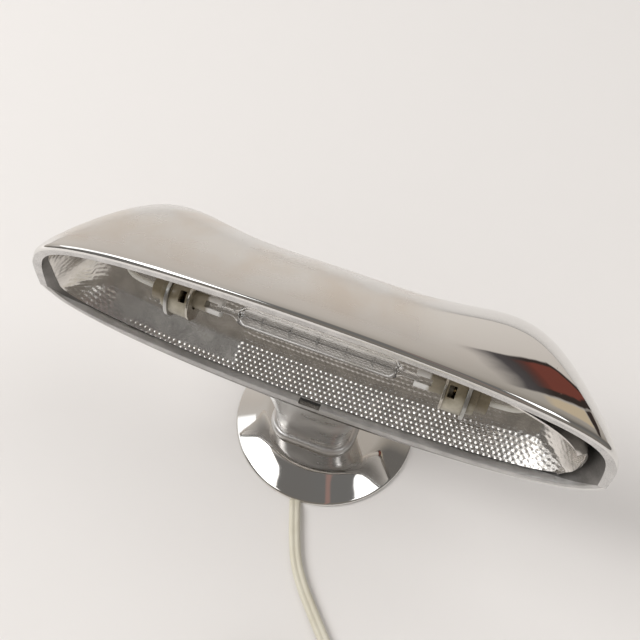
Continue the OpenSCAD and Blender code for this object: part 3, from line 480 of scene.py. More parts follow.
finishKinds = {
    headAluminium: {"headShell": (headFinish,)},
    # tint, roughness, depth of the waves
    polishedAluminium: {
        "polishedShell": ((0.80, 0.79, 0.77), 0.05, 0.02),
        "neckShell": ((0.80, 0.79, 0.78), 0.3, 0.05)},
    # colour, roughness, then the grain's size and depth where they differ
    satinMetal: {
        "machinedRim": ((0.62, 0.61, 0.60), 0.42, 0.9, 0.12),
        "lipFace": ((0.70, 0.69, 0.68), 0.26, 0.6),
        "castInside": ((0.30, 0.29, 0.28), 0.55, 0.8),
        "hammeredSheet": ((0.84, 0.81, 0.77), 0.23, 0.8, 0.004),
        "flangeSteel": ((0.60, 0.57, 0.51), 0.22),
        "zincSteel": ((0.60, 0.60, 0.58), 0.32),
        "springSteel": ((0.66, 0.65, 0.63), 0.22),
        "brass": ((0.72, 0.52, 0.26), 0.26),
        "filamentWire": ((0.30, 0.29, 0.28), 0.35, 0.2)},
    moulded: {
        "darkFibre": ((0.06, 0.055, 0.05), 0.7),
        "clampPlastic": ((0.70, 0.67, 0.58), 0.5),
        "leadSleeve": ((0.78, 0.76, 0.70), 0.45),
        "cordSheath": ((0.68, 0.64, 0.53), 0.42, 0.5),
        "tiePlastic": ((0.75, 0.74, 0.70), 0.4),
        "plugPlastic": ((0.70, 0.67, 0.58), 0.42)},
    # pale, painted shade brown, the edge and its softness in metres, and whether it lies along the
    # head
    shadePaintedCeramic: {
        "ceramic": ((0.60, 0.555, 0.45), (0.20, 0.165, 0.105), 0.0046, 0.002),
        "lampCeramic": ((0.82, 0.80, 0.77), (0.30, 0.26, 0.19), 0.0485, 0.0006, True)},
    clearQuartz: {"quartz": ((0.97, 0.98, 0.99), 1.46, 0.03)},
}
finishes = {}


def makeFinishes():
    for make, kinds in finishKinds.items():
        for name, values in kinds.items():
            finishes[name] = make(name, *values)


# The finish of each node that no piece replaces
nodeFinish = {
    "zincSteel": "wall_bracket plain_washer stop_pin clamp_screws tie_screws bracket_screws"
                 " terminal_screws lamp_contacts plug_pins",
    "springSteel": "spring_washer contact_spring_left contact_spring_right",
    "brass": "centre_tube tube_nut lock_nut plunger_left plunger_right",
    "darkFibre": "friction_washer", "clampPlastic": "cord_clamp", "cordSheath": "head_cord",
    "tiePlastic": "cord_tie", "plugPlastic": "plug_body",
}


def finishNodes():
    for finish, nodes in nodeFinish.items():
        for node in nodes.split():
            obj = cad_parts[node]
            obj.data.materials.clear()
            obj.data.materials.append(finishes[finish])


# Supply cord: the flat twin lead from the rose, its coil and the tail with the plug

cordSet = {
    "width": 5.4, "thickness": 3.2, "lobe": 11, "waist": 0.08,
    "drop": [(-15.1, -1.65, -43.72), (-15.1, -1.65, -52), (-15, -1.65, -62), (-14, -1.65, -74),
             (-11.3, -1.65, -84.5), (-7, -1.65, -95.5), (-1.4, -1.65, -108.5), (3.2, -2, -119),
             (6.6, -2.8, -129.5), (8.5, -3.6, -140), (9, -4.1, -149), (9, -4.1, -156)],
    "tail": [(9, -10.1, -166.8), (9, -9.7, -172.8), (8.9, -8.8, -180.8), (8.7, -7.9, -188.8),
             (8.5, -7.2, -194.8), (8.5, -7.2, -197.7)],
    # how far it is turned on edge, in degrees, spread evenly along the drop and the tail
    "dropTwist": [0, 0, 0, 0, 0, 0, 0, 15, 45, 75, 90, 90], "tailTwist": [90, 80, 50, 20, 0, 0],
    "coilX": -33.1, "coilZ": -161.4, "coilOut": 42.1, "step": 4.9, "turns": 8,
    "near": 4.1, "far": 10.1, "climb": 90, "perTurn": 56, "free": 1.78,
    # where it leaves the rose it is pinched flat against the wall
    "pinch": 0.36, "pinchEnd": 5, "flatFrom": 30, "flatOver": 8,
}


def twinSection(s):
    r = s["thickness"] / 2
    c = s["width"] / 2 - r
    g = np.linspace(-1, 1, s["lobe"]) * (math.pi - math.acos(c / r) - s["waist"])
    right = np.stack([c + r * np.cos(g), r * np.sin(g)], 1)
    return np.concatenate([right, -right])


def edgeOn(twist):
    t = np.radians(np.asarray(twist, float))
    return np.stack([np.cos(t), -np.sin(t), 0 * t], 1)


def coilPoints(s):
    half = 180 * s["turns"]
    g = np.arange(0, 2 * half + 0.1, 360 / s["perTurn"])
    r = s["coilOut"] - s["step"] * np.minimum(g, 2 * half - g) / 360
    k = np.clip((g - half) / s["climb"] + 0.5, 0, 1)
    y = s["near"] + (s["far"] - s["near"]) * k * k * (3 - 2 * k)
    a = np.radians(g)
    return np.stack([s["coilX"] + r * np.cos(a), -y, s["coilZ"] - r * np.sin(a)], 1)


def twistAlong(points, twist):
    return np.interp(np.linspace(0, 1, len(points)), np.linspace(0, 1, len(twist)), twist)


def stepLengths(path):
    return np.linalg.norm(np.diff(path, axis=0), axis=1)


def supplyCord(s):
    drop, tail, coil = through(s["drop"], 6), through(s["tail"], 5), coilPoints(s)
    path = np.concatenate([drop, coil, tail])
    twist = np.concatenate([twistAlong(drop, s["dropTwist"]), np.full(len(coil), 90.0),
                            twistAlong(tail, s["tailTwist"])])
    run = np.concatenate([[0], np.cumsum(stepLengths(path))])
    flat = s["pinch"] + (1 - s["pinch"]) * np.clip(run / s["pinchEnd"], 0, 1)
    path[:, 1] *= np.where(run < s["pinchEnd"], flat, 1)
    obj = swept("supplyCord", path, edgeOn(twist), twinSection(s), angle=60, thick=flat)
    dress(obj, "base", "cordSheath", "cord_sheath", "cord", "cord_coil", "cord_tail")
    print("cord length", round(float(stepLengths(path).sum()) * mm, 4))
    return obj


# The cord under the rose lies flat where it passes the rim
def cordInside(s):
    obj = weldedCopy("inner_cord", "cordInside")
    co = cornersOf(obj)
    low = np.clip((-co[:, 2] / mm - s["flatFrom"]) / s["flatOver"], 0, 1)
    co[:, 1] *= 1 - (1 - s["pinch"]) * low
    setCorners(obj, co)
    smooth(obj, 60)
    return dress(obj, "base", "cordSheath", "cord_sheath", "inner_cord")


# Shape of the head, as in the construction. Its own places are x along it, v away from the
# lip and n above the mouth.

headSet = {
    "halfW": 126.8, "out": 127.9, "drop": 29.1, "tilt": 4, "side": 3.6, "turn": 21.1,
    # the mouth's front and rear edges, and how bluntly they run out at the tips
    "bow": 6.27, "back": 75, "endV": 44.5, "frontFall": (2, 0.211), "backFall": (1.81, 0.4255),
    "rearWide": 2, "rearFall": (2, 1.2),
    # the crown, with a hump near each end
    "crown": 44.9, "crownFall": (2, 0.695), "humpH": 29.4, "humpX": 93, "humpW": 39,
    "rim": 5.6, "endRim": 3.4, "wall": 3,
    # radii of the edges, with their largest share of the thin tips, and of the tips' corners
    "frontR": 1.9, "rearR": 1.7, "edgeR": 0.5, "mostR": 0.3, "mostEdge": 0.1,
    "roundOut": 1.5, "roundIn": 2.5, "roundFrom": 0.85,
    # points along the body and the tips, and round the section
    "stations": 190, "tip": 34, "tipShare": 0.64, "outerArc": 81, "innerArc": 57, "bend": 8,
    "innerBend": 4, "face": 5,
    "notch": ((-3.5, 64.2, -1), (6.5, 71, 2.6)),
}


# From 1 in the middle of the head to 0 at its tips
def fall(x, powers):
    return np.clip(1 - (np.abs(x) / headSet["halfW"]) ** powers[0], 0, 1) ** powers[1]


def frontV(x):
    s = headSet
    return s["endV"] - (s["endV"] + s["bow"]) * fall(x, s["frontFall"])


def backV(x):
    s = headSet
    return s["endV"] + (s["back"] - s["endV"]) * fall(x, s["backFall"])


def midV(x):
    return (frontV(x) + backV(x)) / 2


def halfV(x):
    return (backV(x) - frontV(x)) / 2


def crown(x):
    s = headSet
    hump = s["humpH"] * np.exp(-((np.abs(x) - s["humpX"]) / s["humpW"]) ** 2)
    return (s["crown"] + hump) * fall(x, s["crownFall"])


# The rear wall stands a little further out than the solid's
def rearExtra(x):
    return headSet["rearWide"] * fall(x, headSet["rearFall"])


def outerV(x, n):
    arc = np.sqrt(np.clip(1 - (n / crown(x)) ** 2, 0, 1))
    return midV(x) + (halfV(x) + rearExtra(x)) * arc


# From the head's own places to the room's, in millimetres
def placeHead(p):
    s = headSet
    t = math.radians(s["tilt"])
    x, y, z = (p[..., 0] - s["side"],
               -s["out"] + p[..., 1] * math.cos(t) - p[..., 2] * math.sin(t),
               -s["drop"] + p[..., 1] * math.sin(t) + p[..., 2] * math.cos(t))
    return turned(np.stack([x, y, z], -1), s["turn"])


# Turned about the swivel by an angle in degrees
def turned(p, turn):
    a = math.radians(turn)
    x, y, z = p[..., 0], p[..., 1], p[..., 2]
    return np.stack([math.cos(a) * x + math.sin(a) * z, y, -math.sin(a) * x + math.cos(a) * z],
                    -1)


def headHousing(s):
    inX = (s["halfW"] - s["endRim"]) / s["halfW"]
    half0 = float(halfV(np.zeros(1))[0])
    inV, inN = (half0 - s["rim"]) / half0, (s["crown"] - s["wall"]) / s["crown"]
    # the stations crowd together towards the blunt tips
    share, power = s["tipShare"], 1 / s["frontFall"][1]
    tip = np.sqrt(1 - np.linspace(0, share, s["tip"], endpoint=False) ** power)
    body = np.linspace(0, float(np.sqrt(1 - share ** power)), s["stations"] // 2 + 1)
    half = np.concatenate([body, tip[::-1]])
    x = s["halfW"] * np.concatenate([-half[:0:-1], half])[:, None]
    m, c, h = midV(x), halfV(x), np.maximum(crown(x), 1e-6)
    least = np.minimum(h, c)
    rFront, rRear = (np.minimum(s[k], least * s["mostR"]) for k in ("frontR", "rearR"))
    q = np.minimum(s["edgeR"], least * s["mostEdge"])
    t0, t1 = np.arcsin(rFront / h), np.pi - np.arcsin(rRear / h)
    t = t0 + (t1 - t0) * np.linspace(0, 1, s["outerArc"])[None]
    arcV = m - np.where(np.cos(t) < 0, c + rearExtra(x), c) * np.cos(t)
    arcN = h * np.sin(t)
    bend = np.linspace(0, np.pi / 2, s["bend"])[None, 1:]
    inBend = np.linspace(0, np.pi / 2, s["innerBend"])[None, :-1]
    flat = np.linspace(0, 1, s["face"])[None, 1:-1]
    k0 = np.arcsin(np.minimum(q / (h * inN), 1))
    k = k0 + (np.pi - 2 * k0) * np.linspace(1, 0, s["innerArc"])[None]
    inArcV, inArcN = m - c * inV * np.cos(k), h * inN * np.sin(k)

    # from the outer arc's end v0 over the rim's face to the inner arc's end v1
    def rimSide(sign, r, v0, v1):
        outV, outN = v0 + sign * (r * np.cos(bend) - r), r - r * np.sin(bend)
        edge, start = outV[:, -1:], v1 + sign * q
        faceV = edge + (start - edge) * flat
        inVs, inNs = start - sign * q * np.sin(inBend), q - q * np.cos(inBend)
        vs = np.concatenate([outV, faceV, inVs], 1)
        ns = np.concatenate([outN, 0 * faceV, inNs], 1)
        share = np.concatenate([0 * outV, flat + 0 * faceV, 1 + 0 * inVs], 1)
        return vs, ns, share

    rearV, rearN, rearS = rimSide(1, rRear, arcV[:, -1:], inArcV[:, :1])
    foreV, foreN, foreS = rimSide(-1, rFront, arcV[:, :1], inArcV[:, -1:])
    vs = np.concatenate([arcV, rearV, inArcV, foreV[:, ::-1]], 1)
    ns = np.concatenate([arcN, rearN, inArcN, foreN[:, ::-1]], 1)
    share = np.concatenate([0 * arcV, rearS, 1 + 0 * inArcV, foreS[:, ::-1]], 1)
    # softer corners at the tips
    corner = np.sign(x) * np.sin(np.pi * np.clip(c / c.max() / s["roundFrom"], 0, 1))
    rounding = s["roundOut"] + (s["roundIn"] - s["roundOut"]) * share
    xs = x * (1 + (inX - 1) * share) - corner * rounding
    loops = placeHead(np.stack([xs, vs, ns], -1))
    zones = np.concatenate([np.full(n, k) for n, k in (
        (arcV.shape[1] + bend.size, 0), (rearV.shape[1] - bend.size + 2, 1),
        (inArcV.shape[1] - 2, 2), (foreV.shape[1] - bend.size, 3), (bend.size, 0))])
    obj = skinned("headHousing", loops, angle=50, zones=zones)
    cutWith(obj, headBox(*s["notch"]))
    smooth(obj, 50)
    return dress(obj, "head", ("headShell", "machinedRim", "castInside", "lipFace"),
                 "polished_shell", "head_housing")


# Reflector of dimpled sheet, with a smooth place for a label

reflectorSet = {
    "half": 116.5, "edge": 3.4, "rearEdge": 3.0, "shift": 2.5, "gap": 0.4, "sheet": 1.0,
    "bend": (6.9, 16), "topIn": 22, "topFlat": 8, "front": 20, "top": 27.5, "softBend": 2.5,
    "softTop": 5, "end": 16, "endFall": 1.15, "blend": 4,
    # the right end: its corners are drawn in, and its front edge runs away from the lip
    "corner": (26, 5), "pull": 9, "pullFrom": 50, "pullFall": 1.3, "dip": 2.2,
    "columns": 394, "rows": 226, "backRows": 18, "noseRows": 32,
    # dimples stand in rows as far as regular, and past it as close as space
    "pitch": 2.37, "row": 2.052, "dimple": 0.3, "peak": 1.6, "regular": 88, "space": 2.16,
    # shallower near the ends and on the upper slope: by what share, from where, over what
    "endsLess": (0.6, 80, 12), "upperLess": (0.5, 14, 3),
    # smooth places: their reach along the sheet and up from its rear edge
    "bare": [((-98, -70), (3.2, 13.5)), ((-74, -37), (3.2, 24))],
    # a slot's two corners, and holes by place and diameter
    "slot": ((63.3, 21.4, 24), (66.3, 43.4, 32)),
    "holes": [(93, 34, 6), (30, 27, 4.4)], "holeN": (18, 34),
}


def bentCorner(a, b, c, r, n=9):
    a, b, c = (np.array(p, float) for p in (a, b, c))
    start, end = b + unit(a - b) * r, b + unit(c - b) * r
    t = np.linspace(0, 1, n)[:, None]
    return (1 - t) ** 2 * start + 2 * t * (1 - t) * b + t * t * end


def reflectorRows(s, x):
    h = headSet
    inX = (h["halfW"] - h["rim"]) / h["halfW"]
    inV = 1 - h["rim"] / float(halfV(np.zeros(1))[0])
    inN = (h["crown"] - h["wall"]) / h["crown"]
    xo = x / inX
    blend = s["blend"]

    def room(n):
        arc = np.sqrt(np.clip(1 - (n / (crown(xo) * inN)) ** 2, 0, 1))
        return halfV(xo) * inV * arc - s["gap"] - s["sheet"]

    def inset(a, n):
        return (a ** blend + (room(0 * n) - room(n)) ** blend) ** (1 / blend)

    g = np.linspace(0, np.pi / 2, s["noseRows"])
    rise = s["top"] - s["edge"]
    nose = np.stack([s["front"] * (1 - np.cos(g)), s["edge"] + rise * np.sin(g)], 1)
    top, low = (s["topIn"], s["top"]), (0, s["rearEdge"])
    start = (s["topIn"] + s["topFlat"], s["top"])
    rear = np.concatenate([bentCorner(start, top, s["bend"], s["softTop"]),
                           bentCorner(top, s["bend"], low, s["softBend"]), [low]])
    wide = room(0 * x) / float(room(0 * x).max())
    nearEnd = np.clip((np.abs(x + s["shift"]) - s["half"] + s["end"]) / s["end"], 0, 1)
    lift = 1 - nearEnd ** s["endFall"]
    pulled = (x - s["pullFrom"]) / (s["half"] - s["shift"] - s["pullFrom"])
    away = np.clip(pulled, 0, 1) ** s["pullFall"]
    outer = 1 - nose[:, 0] / s["front"]
    n1 = s["edge"] + (nose[:, 1] - s["edge"]) * lift - s["dip"] * away * outer
    v1 = midV(xo) - room(0 * n1) + inset(nose[:, 0] * wide, n1) + s["pull"] * away * outer
    n2 = s["rearEdge"] + (rear[:, 1] - s["rearEdge"]) * lift
    v2 = midV(xo) + room(0 * n2) - inset(rear[:, 0] * wide, n2)
    return np.concatenate([v1, v2], 1), np.concatenate([n1, n2], 1)


# Height of the dimples, from 0 to 1: straight rows, and closely packed near the ends
def dimples(s, sheet, length):
    centres = []
    for k, row in enumerate(np.arange(0, length.max(), s["row"])):
        offset = (k % 2) * s["pitch"] / 2
        for x in np.arange(-s["regular"], s["regular"], s["pitch"]) + offset:
            i = int(round((x + s["shift"] + s["half"]) / (2 * s["half"]) * s["columns"]))
            if row < length[i, 0]:
                j = np.argmin(np.abs(length[i] - row))
                centres.append(sheet[i, j])
    cells = {}

    def cell(p):
        return tuple(int(c // s["space"]) for c in p)

    for p in centres:
        cells.setdefault(cell(p), []).append(p)
    steps = [(i, j, k) for i in (-1, 0, 1) for j in (-1, 0, 1) for k in (-1, 0, 1)]
    ends = sheet[np.abs(sheet[:, 0, 0]) > s["regular"] - s["pitch"]].reshape(-1, 3)
    for p in ends[np.argsort(np.abs(ends[:, 0]), kind="stable")]:
        at = cell(p)
        near = [q for step in steps for q in cells.get(tuple(map(sum, zip(at, step))), ())]
        if all(sum((a - b) ** 2 for a, b in zip(p, q)) > s["space"] ** 2 for q in near):
            cells.setdefault(at, []).append(p)
            centres.append(p)
    tree = KDTree(len(centres))
    for k, p in enumerate(centres):
        tree.insert(p, k)
    tree.balance()
    away = np.array([tree.find(p)[2] for p in sheet.reshape(-1, 3)]).reshape(length.shape)
    return np.cos(np.clip(away / s["pitch"] * 2, 0, 1) * np.pi / 2) ** s["peak"]


def shallower(rule, at):
    share, start, over = rule
    return 1 - share * np.clip((at - start) / over, 0, 1)


def reflector(s):
    x = np.linspace(-s["half"], s["half"], s["columns"] + 1)[:, None] - s["shift"]
    v, n = reflectorRows(s, x)
    near, pull = s["corner"]
    sheet, length = [], []
    for k in range(len(x)):
        run = np.concatenate([[0], np.cumsum(np.hypot(np.diff(v[k]), np.diff(n[k])))])
        at = np.linspace(0, run[-1], s["rows"])
        late = max(0.0, (float(x[k, 0]) + s["shift"] - s["half"]) / near + 1) ** 2
        sheet.append(np.stack([x[k] - pull * late * np.abs(2 * at / run[-1] - 1) ** 4,
                               np.interp(at, run, v[k]), np.interp(at, run, n[k])], 1))
        length.append(run[-1] - at)
    sheet, length = np.array(sheet), np.array(length)
    facing = unit(np.cross(np.gradient(sheet, axis=0), np.gradient(sheet, axis=1)))
    facing *= -np.sign(facing[len(x) // 2, s["rows"] // 2, 2])
    dimple = s["dimple"] * dimples(s, sheet, length) * shallower(s["endsLess"], np.abs(x))
    dimple *= shallower(s["upperLess"], length)
    for (left, right), (low, high) in s["bare"]:
        out = np.maximum.reduce([left - x + 0 * length, x - right + 0 * length, low - length,
                                 length - high])
        dimple *= np.clip(out + 0.5, 0, 1)
    front = sheet + facing * dimple[..., None]
    pick = np.linspace(s["rows"] - 1, 0, s["backRows"]).round().astype(int)
    back = sheet[:, pick] - facing[:, pick] * s["sheet"]
    loops = placeHead(np.concatenate([front, back], 1))
    obj = skinned("dimpledReflector", loops, caps=True, angle=38)
    low, high = s["slot"]
    for side in (-1, 1):
        ends = sorted((side * low[0], side * high[0]))
        cutWith(obj, headBox((ends[0], *low[1:]), (ends[1], *high[1:])))
        for at, away, d in s["holes"]:
            cutWith(obj, headPeg(side * at, away, *s["holeN"], d))
    smooth(obj, 38)
    print("reflector faces", len(obj.data.polygons))
    return dress(obj, "head", "hammeredSheet", "reflector_sheet", "reflector")


# Lamp: the quartz tube with its filament, and the sleeved leads

lampSet = {
    "v": 32.4, "n": 12.6, "roll": 33, "tube": 73, "r": 4.5, "glass": 1, "dome": 4, "sides": 40,
    # each end, outside: past the tube's end, half width, half thickness and squareness
    "outline": [(7.9, 3.4, 1.25, 6), (2.4, 3.4, 1.25, 6), (0.8, 3.4, 1.35, 5),
                (-0.2, 3.5, 1.9, 3.4), (-1.2, 3.7, 2.9, 2.6), (-2.4, 4.2, 3.8, 2.2),
                (-3.8, 4.5, 4.35, 2), (-5.5, 4.5, 4.5, 2)],
    "boreEnd": 0.6, "coilR": 0.38, "coilWire": 0.1, "turns": 70, "perTurn": 10, "coilEnd": 1.5,
    "coilTail": 1.2,
    # five loops that hold the filament: turns, points, start of the spiral, reach along x
    "supportWire": 0.1, "supports": (1.9, 44, 0.62, (-0.5, 0.9)), "supportGap": 0.2,
    "lead": 1.3, "leadSides": 20, "aside": (0.31, 0.9, 0.3),
    "leadRun": [(72.0, 32.4, 12.6), (76.4, 32.4, 12.6), (83, 32.5, 13.4), (87.5, 32.8, 15.4),
                (91, 33.4, 19), (92.8, 33.9, 23.5), (93, 34, 27.5), (92.5, 33.6, 30.8),
                (90.3, 32, 33), (86, 29.5, 34), (79, 26, 34.2), (70.1, 22.5, 34.2),
                (57.8, 19.5, 34.2), (44.6, 17.8, 33.95), (29.6, 17, 33.95), (15.6, 16.8, 33.95),
                (9.4, 17.6, 33.95), (5.9, 20, 33.95), (5, 22.6, 33.95), (5, 25.85, 33.95)],
}


# Points about the lamp's axis: x along it, a across and b up, rolled with the lamp
def onLamp(s, x, a, b):
    g = math.radians(s["roll"])
    return np.stack([x + 0 * a, s["v"] + a * math.cos(g) - b * math.sin(g) + 0 * x,
                     s["n"] + a * math.sin(g) + b * math.cos(g) + 0 * x], -1)


def joinInto(obj, other):
    makeActive(obj)
    other.select_set(True)
    bpy.ops.object.join()
    return bpy.context.object


def quartzLamp(s):
    g = np.arange(s["sides"]) * 2 * np.pi / s["sides"]
    half = s["tube"] / 2

    # rings of the given half sizes at x and, mirrored, at -x
    def bothEnds(name, x, a, b, power):
        def ring(x, a, b, power):
            c, d = np.cos(g)[None], np.sin(g)[None]
            return onLamp(s, x, a * np.sign(c) * np.abs(c) ** (2 / power),
                          b * np.sign(d) * np.abs(d) ** (2 / power))

        rings = [ring(x, a, b, power), ring(-x[::-1], a[::-1], b[::-1], power[::-1])]
        return skinned(name, placeHead(np.concatenate(rings)), caps=True, angle=60)

    x, a, b, square = (np.array(k)[:, None] for k in zip(*s["outline"]))
    outer = bothEnds("quartzTube", half + x, a, b, square)
    inR, inHalf = s["r"] - s["glass"], half - s["glass"] - s["boreEnd"]
    t = np.linspace(0.03, np.pi / 2, 9)[:, None]
    xi, ri = inHalf - s["dome"] * (1 - np.cos(t)), inR * np.sin(t)
    inner = bothEnds("quartzBore", xi, ri, ri, 2 + 0 * t)
    inEditMode(inner, lambda: bpy.ops.mesh.flip_normals())
    dress(joinInto(outer, inner), "head", "quartz", "quartz", "lamp_bulb")

    g = np.linspace(0, 2 * np.pi * s["turns"], s["turns"] * s["perTurn"])
    reach = inHalf - s["coilEnd"]
    end = reach + s["coilTail"]
    coil = onLamp(s, np.linspace(-reach, reach, len(g)), s["coilR"] * np.cos(g),
                  s["coilR"] * np.sin(g))
    coil = np.concatenate([[[-end, s["v"], s["n"]]], coil, [[end, s["v"], s["n"]]]])
    wire = swept("filamentCoil", placeHead(coil),
                 turned(np.array([[0, 0.3, 1.0]]), headSet["turn"]),
                 roundSection(s["coilWire"], 5))
    turns, points, start, (low, high) = s["supports"]
    alongHead = placeHead(np.array([[1.0, 0, 0]])) - placeHead(np.zeros((1, 3)))
    g = np.linspace(0, 2 * np.pi * turns, points)
    spread = np.linspace(start, 1, points) ** 2 * (inR - s["supportGap"])
    for k in range(-2, 3):
        hoop = onLamp(s, k * s["tube"] / 6 + np.linspace(low, high, points),
                      spread * np.cos(g), spread * np.sin(g))
        wire = joinInto(wire, swept("support", placeHead(hoop), alongHead,
                                    roundSection(s["supportWire"], 5)))
    dress(wire, "head", "filamentWire", "filament_wire", "filament")


def leads(s):
    run = through(s["leadRun"], 6)
    for side, name in ((-1, "left"), (1, "right")):
        path = placeHead(run * (side, 1, 1))
        across = np.cross(slopes(path), [s["aside"]])
        obj = swept("sleeve_" + name, path, across, roundSection(s["lead"], s["leadSides"]))
        dress(obj, "head", "leadSleeve", "lead_sleeve", "lead_" + name)


# Small parts of the head, copied from the construction: finish, slot, width of the edges

smallParts = {
    "holder_left holder_right": ("ceramic", "ceramic", 0.45),
    "flange_left flange_right": ("flangeSteel", "zinc_steel", 0.3),
    "rear_block_left rear_block_right": ("ceramic", "ceramic", 0.5),
    "lamp_cap_left lamp_cap_right": ("lampCeramic", "lamp_ceramic", 0.35),
    "terminal_block": ("ceramic", "ceramic", 0.5),
    "lamp_bracket": ("zincSteel", "zinc_steel", 0.25),
}


def roundParts(s):
    for nodes, (finish, slot, width) in s.items():
        for node in nodes.split():
            obj = bevelledCopy(node, node + "Rounded", width)
            dress(obj, "head", finish, slot, node)


# Neck between the foot and the head

neckSet = {
    "footW": 44.4, "footH": 36, "corner": 12.7, "footDrop": 3.5, "step": 2.6, "footY": 10.6,
    "lap": 0.05, "wall": 2.5, "flareW": 78, "flareLow": 3, "flareTop": 35, "flareThin": 1,
    "gap": 0.2, "rings": 40, "curve": 2.2,
    # points round a corner and along a side, and the degrees of the flare that a corner takes
    "arc": 16, "edge": 6, "span": 80,
    # the foot's rounded edge, cut by a pillow that starts inside it
    "footRound": 2.5, "pillowFrom": 7, "clear": 0.02,
}


def neck(s):
    g, foot = [], []
    side = 90 - s["span"]
    for quarter in range(4):
        start = quarter * 90
        for i in range(s["arc"]):
            g.append(start + side / 2 + i * s["span"] / s["arc"])
            foot.append((start + i * 90 / s["arc"], 0))
        for i in range(s["edge"]):
            g.append(start + 90 - side / 2 + i * (side / s["edge"]))
            foot.append((start + 90, i / s["edge"]))
    g = np.radians(np.array(g))

    def footLoop(inset, y):
        w, h, r = s["footW"] / 2 - inset, s["footH"] / 2 - inset, s["corner"] - inset
        signs = [(1, 1), (-1, 1), (-1, -1), (1, -1)]
        out = []
        for k, (a, along) in enumerate(foot):
            quarter = k // (s["arc"] + s["edge"])
            a = math.radians(a)
            at = [np.array([sx * (w - r) + r * math.cos(a), sz * (h - r) + r * math.sin(a)])
                  for sx, sz in (signs[quarter], signs[(quarter + 1) % 4])]
            out.append(at[0] * (1 - along) + at[1] * along)
        p = np.array(out)
        return np.stack([p[:, 0] - headSet["side"], np.full(len(p), -y),
                         p[:, 1] - s["footDrop"]], 1)

    def flareLoop(inset):
        x = (s["flareW"] / 2 - inset) * np.cos(g)
        mid, high = (s["flareTop"] + s["flareLow"]) / 2, (s["flareTop"] - s["flareLow"]) / 2
        n = mid + (high - inset) * np.sin(g)
        return turned(placeHead(np.stack([x, outerV(x, n) + s["gap"], n], 1)),
                      -headSet["turn"])

    def wallLoops(inset, flareInset):
        a, b = footLoop(inset, s["footY"] + s["lap"]), flareLoop(flareInset)
        return [a + (b - a) * np.array([k ** s["curve"], k, k ** s["curve"]])
                for k in np.linspace(0, 1, s["rings"] + 1)]

    inside = wallLoops(s["step"] + s["wall"], s["wall"] + s["flareThin"])
    loops = wallLoops(s["step"], 0) + inside[::-1]
    loops.append(loops[0])
    obj = skinned("neckCasting", turned(np.array(loops), headSet["turn"]), angle=50)
    dress(obj, "head", "neckShell", "polished_shell", "neck")

    r, clear = s["footRound"], s["clear"]
    pillow = [footLoop(clear, s["pillowFrom"])] + [
        footLoop(clear + r * (1 - math.cos(t)), s["footY"] - clear - r + r * math.sin(t))
        for t in np.linspace(0, np.pi / 2, 8)]
    cutter = skinned("pillow", turned(np.array(pillow), headSet["turn"]), caps=True)
    foot = cutWith(weldedCopy("neck_foot", "footRounded"), cutter, "INTERSECT")
    smooth(foot, 40)
    return dress(foot, "head", "neckShell", "polished_shell", "neck_foot")


# Rose on the wall. Its profile is given as radius and height.

roseSet = {"d": 92.5, "h": 7, "wall": 1.3, "land": 42, "bore": 10.1, "sides": 256,
           "profile": [(21, 7), (24, 7), (27.5, 7), (30, 6.93), (32.5, 6.55), (35, 5.85),
                       (38, 4.75), (41.5, 3.35), (44.4, 2.15), (45.6, 1.6), (46.12, 1.0),
                       (46.25, 0.4)]}


def rose(s):
    outer = through(s["profile"], 5)
    r, y = outer.T
    u = (r - s["land"] / 2) / (s["d"] / 2 - s["land"] / 2)
    inner = np.stack([r - s["wall"] * u, np.maximum(y - s["wall"], 0.0)], 1)[::-1]
    bore, under = s["bore"] / 2, s["h"] - s["wall"]
    lip = [(s["d"] / 2, 0.0), (s["d"] / 2 - s["wall"], 0.0)]
    profile = np.concatenate([[(bore, under), (bore, s["h"])], outer, lip, inner[1:],
                              [(bore, under)]])
    g = np.arange(s["sides"]) * 2 * np.pi / s["sides"]
    loops = np.stack([profile[:, :1] * np.cos(g), -profile[:, 1:] + 0 * g,
                      profile[:, :1] * np.sin(g)], -1)
    obj = skinned("roseShell", loops, angle=35)
    return dress(obj, "base", "polishedShell", "polished_shell", "rose")


# Stage, lights and the studio that the metal reflects

stageSet = {"size": 6000, "floorDrop": 1400, "behind": 0.2, "hole": 44, "grain": 30,
            "darker": 0.985, "wallColour": (0.80, 0.77, 0.745), "floorColour": (0.80, 0.78, 0.76)}


def stage(s):
    size, drop = s["size"] * mm, s["floorDrop"] * mm
    for name, place, turn, colour in (
            ("wall", (0, s["behind"] * mm, size / 2 - drop), (math.pi / 2, 0, 0),
             s["wallColour"]),
            ("floor", (0, -size / 2, -drop), (0, 0, 0), s["floorColour"])):
        deselectAll()
        bpy.ops.mesh.primitive_plane_add(size=size, location=place, rotation=turn)
        obj = bpy.context.object
        obj.name = name
        f = Finish(name + "Paint")
        grain = f.ramp(f.noise(s["grain"], 3), 0.3, 0.7, 0, 0.25)
        f.set({"Base Color": f.mixed(grain, colour, scaled(colour, (s["darker"],) * 3)),
               "Roughness": 0.9, "Specular IOR Level": 0.1})
        # seen from behind it lets the view and the light through, and under the rose it is open
        clear = f.node("ShaderNodeNewGeometry", {}, {}, "Backfacing")
        if name == "wall":
            at = f.node("ShaderNodeNewGeometry", {}, {}, "Position")
            out = f.node("ShaderNodeVectorMath", {"operation": "LENGTH"}, {0: at}, "Value")
            clear = clear.larger(out.maths("LESS_THAN", out, s["hole"] * mm))
        paint = Wire(f.tree, f.shader.outputs[0])
        glass = f.node("ShaderNodeBsdfTransparent", {}, {})
        surface = f.node("ShaderNodeMixShader", {}, {0: clear, 1: paint, 2: glass})
        join(f.tree, f.tree.nodes["Material Output"].inputs[0], surface)
        obj.data.materials.append(f.material)
    bpy.data.objects["floor"].visible_glossy = False
    bpy.data.objects["wall"].visible_diffuse = False


